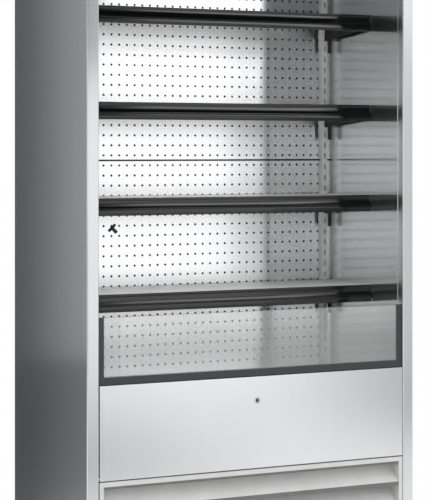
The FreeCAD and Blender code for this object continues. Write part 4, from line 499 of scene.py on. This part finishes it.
def blind_cloth():
    """Cloth in the plane of the solid that it stands for."""
    low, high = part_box("blind_fabric")
    y = (low[1] + high[1]) / 2
    shape = bmesh.new()
    bmesh.ops.create_grid(shape, x_segments=CLOTH_COLUMNS, y_segments=CLOTH_ROWS, size=HALF_GRID)
    for vertex in shape.verts:
        across, up = vertex.co.x + HALF_GRID, vertex.co.y + HALF_GRID
        vertex.co = (low[0] + (high[0] - low[0]) * across, y, low[2] + (high[2] - low[2]) * up)
    cloth = shaped("blind_cloth", shape, "blind_cloth")
    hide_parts("blind_fabric")
    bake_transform(cloth)


blind_cloth()


# Liner: the hemmed front edge of each side, which catches a line of light. Its place is measured from the
# face and from the front of the liner's sheet.
LINER_SHEET = 1.0
HEM_WIDTH = 2.6
HEM_PROUD = 1.4
HEM_SETBACK = 9.0
HEM_SIDES = 10


def liner_hems():
    """A half-round bead up each liner, from the riser's frame to the blind's cassette."""
    low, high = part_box("side_liners")
    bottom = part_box("riser_frame")[1][2]
    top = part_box("blind_cassette")[0][2]
    shape = bmesh.new()
    for side in (-1, 1):
        face = side * (high[0] - LINER_SHEET * MM)
        y = low[1] + HEM_SETBACK * MM
        rings = []
        for z in (bottom, top):
            ring = []
            for n in range(HEM_SIDES + 1):
                turn = math.pi * n / HEM_SIDES
                ring.append(shape.verts.new((face - side * HEM_PROUD * MM * math.sin(turn),
                                             y + HEM_WIDTH / 2 * MM * math.cos(turn), z)))
            rings.append(ring)
        skin(shape, *rings)
        for ring in rings:
            shape.faces.new(ring)
    shade_curves(piece("liner_hems", shape, "cabinet", "bright_sheet"))


liner_hems()

HALF_CUBE = Vector((0.5, 0.5, 0.5))


def plate(shape, low, high):
    """A flat box between two corners, in millimetres."""
    for corner in bmesh.ops.create_cube(shape, size=1)["verts"]:
        shares = corner.co + HALF_CUBE
        corner.co = Vector([((1 - share) * a + share * b) * MM for a, b, share in zip(low, high, shares)])


# Sheets of painted shade on the upright lips of the louvres, in millimetres: the heights of their top edges,
# of which the first hangs under the top band, how tall each is, their front face, and the strip of frame left
# free at each side.
LIP_TOPS = (303.0, 247.0, 181.4, 115.8)
LIP_HIGH = (7.0, 11.0, 11.0, 11.0)
LIP_FACE = -303.5
LIP_THICK = 0.5
SIDE_STRIP = 11.0


def grille_lip_painted_shade():
    """Thin sheets of painted shade along the front edges of the louvres, a darker grey than the slats."""
    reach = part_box("louvre_grille")[1][0] / MM - SIDE_STRIP
    shape = bmesh.new()
    for top, tall in zip(LIP_TOPS, LIP_HIGH):
        plate(shape, (-reach, LIP_FACE, top - tall), (reach, LIP_FACE + LIP_THICK, top))
    piece("grille_lip_painted_shade", shape, "louvre_grille", "lip_painted_shade")


grille_lip_painted_shade()

# Key slot of the lock, so far below the top of the access panel, and the black shutter at both sides of it.
LOCK_DROP = 63.0
SLOT_HALF_WIDTH = 0.8
SHUTTER_HALF_WIDTH = 3.6
SHUTTER_HALF_HEIGHT = 5.0
SHUTTER_THICK = 0.3


def lock_shutter():
    """Black shutter beside the key slot, seen as a short dark mark."""
    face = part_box("lock_cam")[0][1] / MM
    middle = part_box("access_panel")[1][2] / MM - LOCK_DROP
    shape = bmesh.new()
    for side in (-1, 1):
        plate(shape, (side * SLOT_HALF_WIDTH, face - SHUTTER_THICK, middle - SHUTTER_HALF_HEIGHT),
              (side * SHUTTER_HALF_WIDTH, face, middle + SHUTTER_HALF_HEIGHT))
    piece("lock_shutter", shape, "lock_cam", "black_nylon")


lock_shutter()

# Lens of the controller, in millimetres: two opposite corners.
LENS_LOW = (259.4, -303.9, 1832.4)
LENS_HIGH = (298.6, -303.0, 1853.6)


def display_lens():
    """Dark lens in the window of the control panel."""
    shape = bmesh.new()
    plate(shape, LENS_LOW, LENS_HIGH)
    piece("display_lens", shape, "cabinet", "display")


display_lens()


# Pan-head screws: a domed head with a cross recess, lying on a face that looks along one direction. The
# outline of the dome is a cosine to the power of its fullness.
HEAD_RADIUS = 4.2
HEAD_HEIGHT = 2.4
HEAD_FULLNESS = 0.6
HEAD_RINGS = 4
HEAD_SIDES = 16
RECESS_LONG = 2.0
RECESS_WIDE = 0.55
RECESS_DEEP = 1.0
# Corners of one arm of the cross, along it and to its side.
RECESS_ARM = ((RECESS_WIDE, -RECESS_WIDE), (RECESS_LONG, -RECESS_WIDE), (RECESS_LONG, RECESS_WIDE))


def screw_head(shape, place, outward):
    """One head: rings of a dome down to the face, and a cross of four arms sunk into its crown."""
    turn = Vector((0, 0, 1)).rotation_difference(Vector(outward)).to_matrix()

    def ring_of(points, height):
        """Corners at these points, at a height above the face."""
        return [shape.verts.new(Vector(place) + turn @ (Vector((x, y, height)) * MM)) for x, y in points]

    rings = []
    for step in range(HEAD_RINGS):
        rise = math.radians(90) * step / HEAD_RINGS
        radius = HEAD_RADIUS * math.cos(rise) ** HEAD_FULLNESS
        round_points = []
        for n in range(HEAD_SIDES):
            angle = 2 * math.pi * n / HEAD_SIDES
            round_points.append((radius * math.cos(angle), radius * math.sin(angle)))
        rings.append(ring_of(round_points, HEAD_HEIGHT * math.sin(rise)))
    for below, above in zip(rings, rings[1:]):
        skin(shape, below, above)
    cross = []
    for quarter in range(4):
        angle = math.radians(90) * quarter
        for along, side in RECESS_ARM:
            cross.append((along * math.cos(angle) - side * math.sin(angle),
                          along * math.sin(angle) + side * math.cos(angle)))
    crown, floor = [ring_of(cross, height) for height in (HEAD_HEIGHT, HEAD_HEIGHT - RECESS_DEEP)]
    skin(shape, crown, floor)
    shape.faces.new(floor)
    loops = []
    for ring in (rings[-1], crown):
        loops += [shape.edges.get((ring[n], ring[(n + 1) % len(ring)])) for n in range(len(ring))]
    bmesh.ops.bridge_loops(shape, edges=loops)
    shape.faces.new(rings[0])


def evenly(start, end, count):
    """Places from a start to an end, at equal steps."""
    return [start + (end - start) * n / (count - 1) for n in range(count)]


SCREW_INSET = 12.0
SCREWS_UP = 7
SCREWS_ACROSS = 5


def rear_panel_screws():
    """Screws round the rear panel, as many as hold such a sheet without rattle."""
    low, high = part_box("rear_panel")
    inset = SCREW_INSET * MM
    shape = bmesh.new()
    sides = (low[0] + inset, high[0] - inset)
    rows = evenly(low[2] + inset, high[2] - inset, SCREWS_UP)
    places = [(x, z) for x in sides for z in rows]
    places += [(x, z) for x in evenly(*sides, SCREWS_ACROSS)[1:-1] for z in (rows[0], rows[-1])]
    for x, z in places:
        screw_head(shape, (x, high[1], z), (0, 1, 0))
    shade_curves(piece("rear_panel_screws", shape, "cabinet", "zinc"))


rear_panel_screws()


# Return bends of the two coils: half rings of pipe that join the straight tubes beyond the fins. Each coil
# has so many lines of tube one above the other, in so many layers from front to back.
TUBE_RADIUS = 4.75
BEND_STEPS = 10
BEND_SIDES = 10
COILS = {"evaporator_coil": (3, 2), "condenser_coil": (4, 2)}


def return_bend(shape, start, end, outward):
    """Half a ring of pipe between two tube ends, bulging outward along X."""
    centre, arm = (start + end) / 2, (start - end) / 2
    reach = Vector((outward * arm.length, 0, 0))
    side = arm.normalized().cross(Vector((outward, 0, 0)))
    turns = [2 * math.pi * n / BEND_SIDES for n in range(BEND_SIDES)]
    rings = []
    for step in range(BEND_STEPS + 1):
        angle = math.pi * step / BEND_STEPS
        middle = arm * math.cos(angle) + reach * math.sin(angle)
        away = middle.normalized()
        rings.append([shape.verts.new(
            centre + middle + TUBE_RADIUS * MM * (away * math.cos(turn) + side * math.sin(turn))
        ) for turn in turns])
    for before, after in zip(rings, rings[1:]):
        skin(shape, before, after)


def coil_bends(node, lines, layers):
    """On one end the layers of each line are joined, on the other each line to the next."""
    low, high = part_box(node)
    end = 2 * TUBE_RADIUS * MM
    depth, height = high[1] - low[1], high[2] - low[2]

    def tube(line, layer, x):
        """Middle of a tube, cut at X."""
        return Vector((x, low[1] + depth * (layer + 0.5) / layers, low[2] + height * (line + 0.5) / lines))

    shape = bmesh.new()
    left, right = low[0] + end, high[0] - end
    for line in range(lines):
        return_bend(shape, tube(line, 0, left), tube(line, 1, left), -1)
    for line in range(lines - 1):
        layer = (line + 1) % layers
        return_bend(shape, tube(line, layer, right), tube(line + 1, layer, right), 1)
    shade_curves(piece(f"{node}_bends", shape, "cabinet", "copper"))


for node, (lines, layers) in COILS.items():
    coil_bends(node, lines, layers)


# Studio.
WHITE = (1, 1, 1, 1)


def stage_plane(name, corners, material, hidden_from=()):
    """A flat sheet of the studio, which isn't part of the object."""
    mesh = bpy.data.meshes.new(name)
    mesh.from_pydata(corners, [], [tuple(range(len(corners)))])
    mesh.materials.append(material)
    sheet = bpy.data.objects.new(name, mesh)
    bpy.context.scene.collection.objects.link(sheet)
    for ray in hidden_from:
        setattr(sheet, "visible_" + ray, False)


def seen_as_background(tree):
    """One for the rays that show the background: camera rays, and reflections and views through glass."""
    rays = add(tree, "LightPath").outputs
    direct = add(tree, "Math", {0: rays["Is Camera Ray"], 1: rays["Is Glossy Ray"]}, operation="MAXIMUM")
    return add(tree, "Math", {0: direct, 1: rays["Is Transmission Ray"]}, operation="MAXIMUM")


def pale_floor(tree, paint, glow):
    """Matt white floor. Rays that show the background see mostly a white glow, and the others its paint."""
    share = add(tree, "MapRange", {"Value": seen_as_background(tree), "To Max": glow})
    return add(tree, "MixShader", {
        "Fac": share, 1: add(tree, "BsdfDiffuse", {"Color": linear(paint)}),
        2: add(tree, "Emission", {"Color": WHITE}),
    })


def grey_flag(tree, tone):
    """Flag of one grey."""
    return add(tree, "Emission", {"Color": linear(tone)})


def graded_flag(tree, near_tone, far_tone, near_x, far_x):
    """Flag graded along X from one grey to another."""
    place = add(tree, "SeparateXYZ", {"Vector": add(tree, "TexCoord").outputs["Object"]})
    share = add(tree, "MapRange", {"Value": place, "From Min": near_x, "From Max": far_x})
    return add(tree, "Emission", {"Color": add(tree, "Mix", {
        "Factor": share, "A": linear(near_tone), "B": linear(far_tone),
    }, data_type="RGBA")})


FLOOR_HALF = 40
FLOOR_CORNERS = [(x * FLOOR_HALF, y * FLOOR_HALF, 0) for x, y in ((-1, -1), (1, -1), (1, 1), (-1, 1))]
FLOOR_PAINT = "#f2f2f1"
FLOOR_GLOW = 0.98
stage_plane("floor", FLOOR_CORNERS, made_of("pale_floor", pale_floor, FLOOR_PAINT, FLOOR_GLOW))

# Soft lamps that look at the middle of the body: place, width and height in metres, radiance, and whether the
# steel mirrors them.
BODY_MIDDLE = (0.0, -0.2, 1.05)
SOFTBOXES = {
    "key": ((1.6, -3.7, 1.4), 1.3, 3.2, 0.5, True),
    "strip_light": ((1.42, -2.99, 2.35), 0.95, 0.6, 2.9, True),
    "overhead": ((0.0, -1.2, 4.2), 3.4, 3.4, 1.0, False),
}


def softbox(name, place, width, height, radiance, in_gloss):
    """Rectangular lamp of the given radiance."""
    data = bpy.data.lights.new(name, "AREA")
    data.shape = "RECTANGLE"
    data.size, data.size_y = width, height
    data.energy = radiance * math.pi * width * height
    lamp = bpy.data.objects.new(name, data)
    lamp.location = place
    lamp.rotation_euler = (Vector(BODY_MIDDLE) - Vector(place)).to_track_quat("-Z", "Y").to_euler()
    lamp.visible_glossy = in_gloss
    bpy.context.scene.collection.objects.link(lamp)


for name, settings in SOFTBOXES.items():
    softbox(name, *settings)

# Flags, which only reflections see: they give the steel its light and dark bands. Two ends of an edge and the
# step to the opposite edge, in metres, then one grey, or two and the X between which they blend.
FLAGS = {
    # Behind, for the outer side.
    "behind_left": ((-0.52, 0.62, 0.5), (-3.2, 0.62, 0.5), (0, 0, 2.7), "#08090a", "#bfc2c4", -0.7, -0.94),
    "behind_left_low": ((-0.52, 0.62, 0), (-3.2, 0.62, 0), (0, 0, 0.5), "#040505", "#8a8d8f", -0.72, -0.96),
    # In front to the left: dark for the right part of the back panels, and pale for the right liner.
    "front_left": ((-0.75, -3.0, 0.8), (-3.4, -1.4, 0.8), (0, 0, 0.88), "#050606", "#ffffff", -1.16, -1.24),
    "front_left_low": ((-0.75, -3.0, 0.22), (-3.4, -1.4, 0.22), (0, 0, 0.58), "#050606", "#b0b3b5", -1.16,
                       -1.26),
    "front_left_high": ((-0.75, -3.0, 1.68), (-3.4, -1.4, 1.68), (0, 0, 1.52), "#050606"),
    # In front to the right, for the posts and the panels that face forward.
    "front_right": ((1.75, -3.4, 0), (3.6, -3.4, 0), (0, 0, 1.7), "#ffffff", "#9a9d9f", 1.7, 2.2),
    "front_top": ((-0.9, -3.3, 1.95), (1.9, -3.3, 1.95), (0, 0, 0.95), "#8a8d8f"),
    "post_top": ((-0.9, -1.5, 1.42), (0.08, -1.5, 1.42), (0, 0, 0.98), "#4c4f51"),
    # On the floor and overhead.
    "floor_left": ((-0.6, -3.4, 0.01), (0.75, -3.4, 0.01), (0, 1.8, 0), "#ffffff", "#9a9d9f", 0.8, 0.2),
    "floor_right": ((1.3, -3.4, 0.01), (3.4, -3.4, 0.01), (0, 1.8, 0), "#ffffff", "#5c5f61", 1.35, 2.0),
    "above": ((-2.6, -3.6, 2.65), (3.0, -3.6, 2.65), (0, 1.6, 0.85), "#08090a"),
}
ALL_BUT_REFLECTIONS = ("camera", "diffuse", "transmission", "shadow")

for place, (start, end, step, *greys) in FLAGS.items():
    name = "flag_" + place
    far_edge = [tuple(a + b for a, b in zip(corner, step)) for corner in (end, start)]
    finish = graded_flag if len(greys) > 1 else grey_flag
    stage_plane(name, [start, end, *far_edge], made_of(name, finish, *greys), ALL_BUT_REFLECTIONS)

# World: white where it shows as the background, and a level softer than that as light.
SOFT_LEVEL = 0.8
world = bpy.data.worlds.new("studio")
bpy.context.scene.world = world
world.use_nodes = True
sky = world.node_tree
sky.nodes.clear()
strength = add(sky, "MapRange", {"Value": seen_as_background(sky), "To Min": SOFT_LEVEL, "To Max": 1.0})
add(sky, "OutputWorld", {"Surface": add(sky, "Background", {"Color": WHITE, "Strength": strength})})

# Camera: level, with the sensor's shift keeping the uprights upright, as in the photograph. The focal length
# and the row of the horizon are pixels of a frame 500 high.
SENSOR = 36.0
IMAGE_HEIGHT = 500
FOCAL_PIXELS = 1635
HORIZON_ROW = 148.36
CAMERA_PLACE = (-1.8647, -4.1879, 1.160)
CAMERA_TURN = -24.15
camera = bpy.data.objects.new("camera", bpy.data.cameras.new("camera"))
camera.data.sensor_width = SENSOR
camera.data.lens = FOCAL_PIXELS / IMAGE_HEIGHT * SENSOR
camera.data.shift_y = (HORIZON_ROW - IMAGE_HEIGHT / 2) / IMAGE_HEIGHT
camera.location = CAMERA_PLACE
camera.rotation_euler = (math.radians(90), 0, math.radians(CAMERA_TURN))
bpy.context.scene.collection.objects.link(camera)
bpy.context.scene.camera = camera
bpy.context.scene.view_settings.view_transform = "Standard"
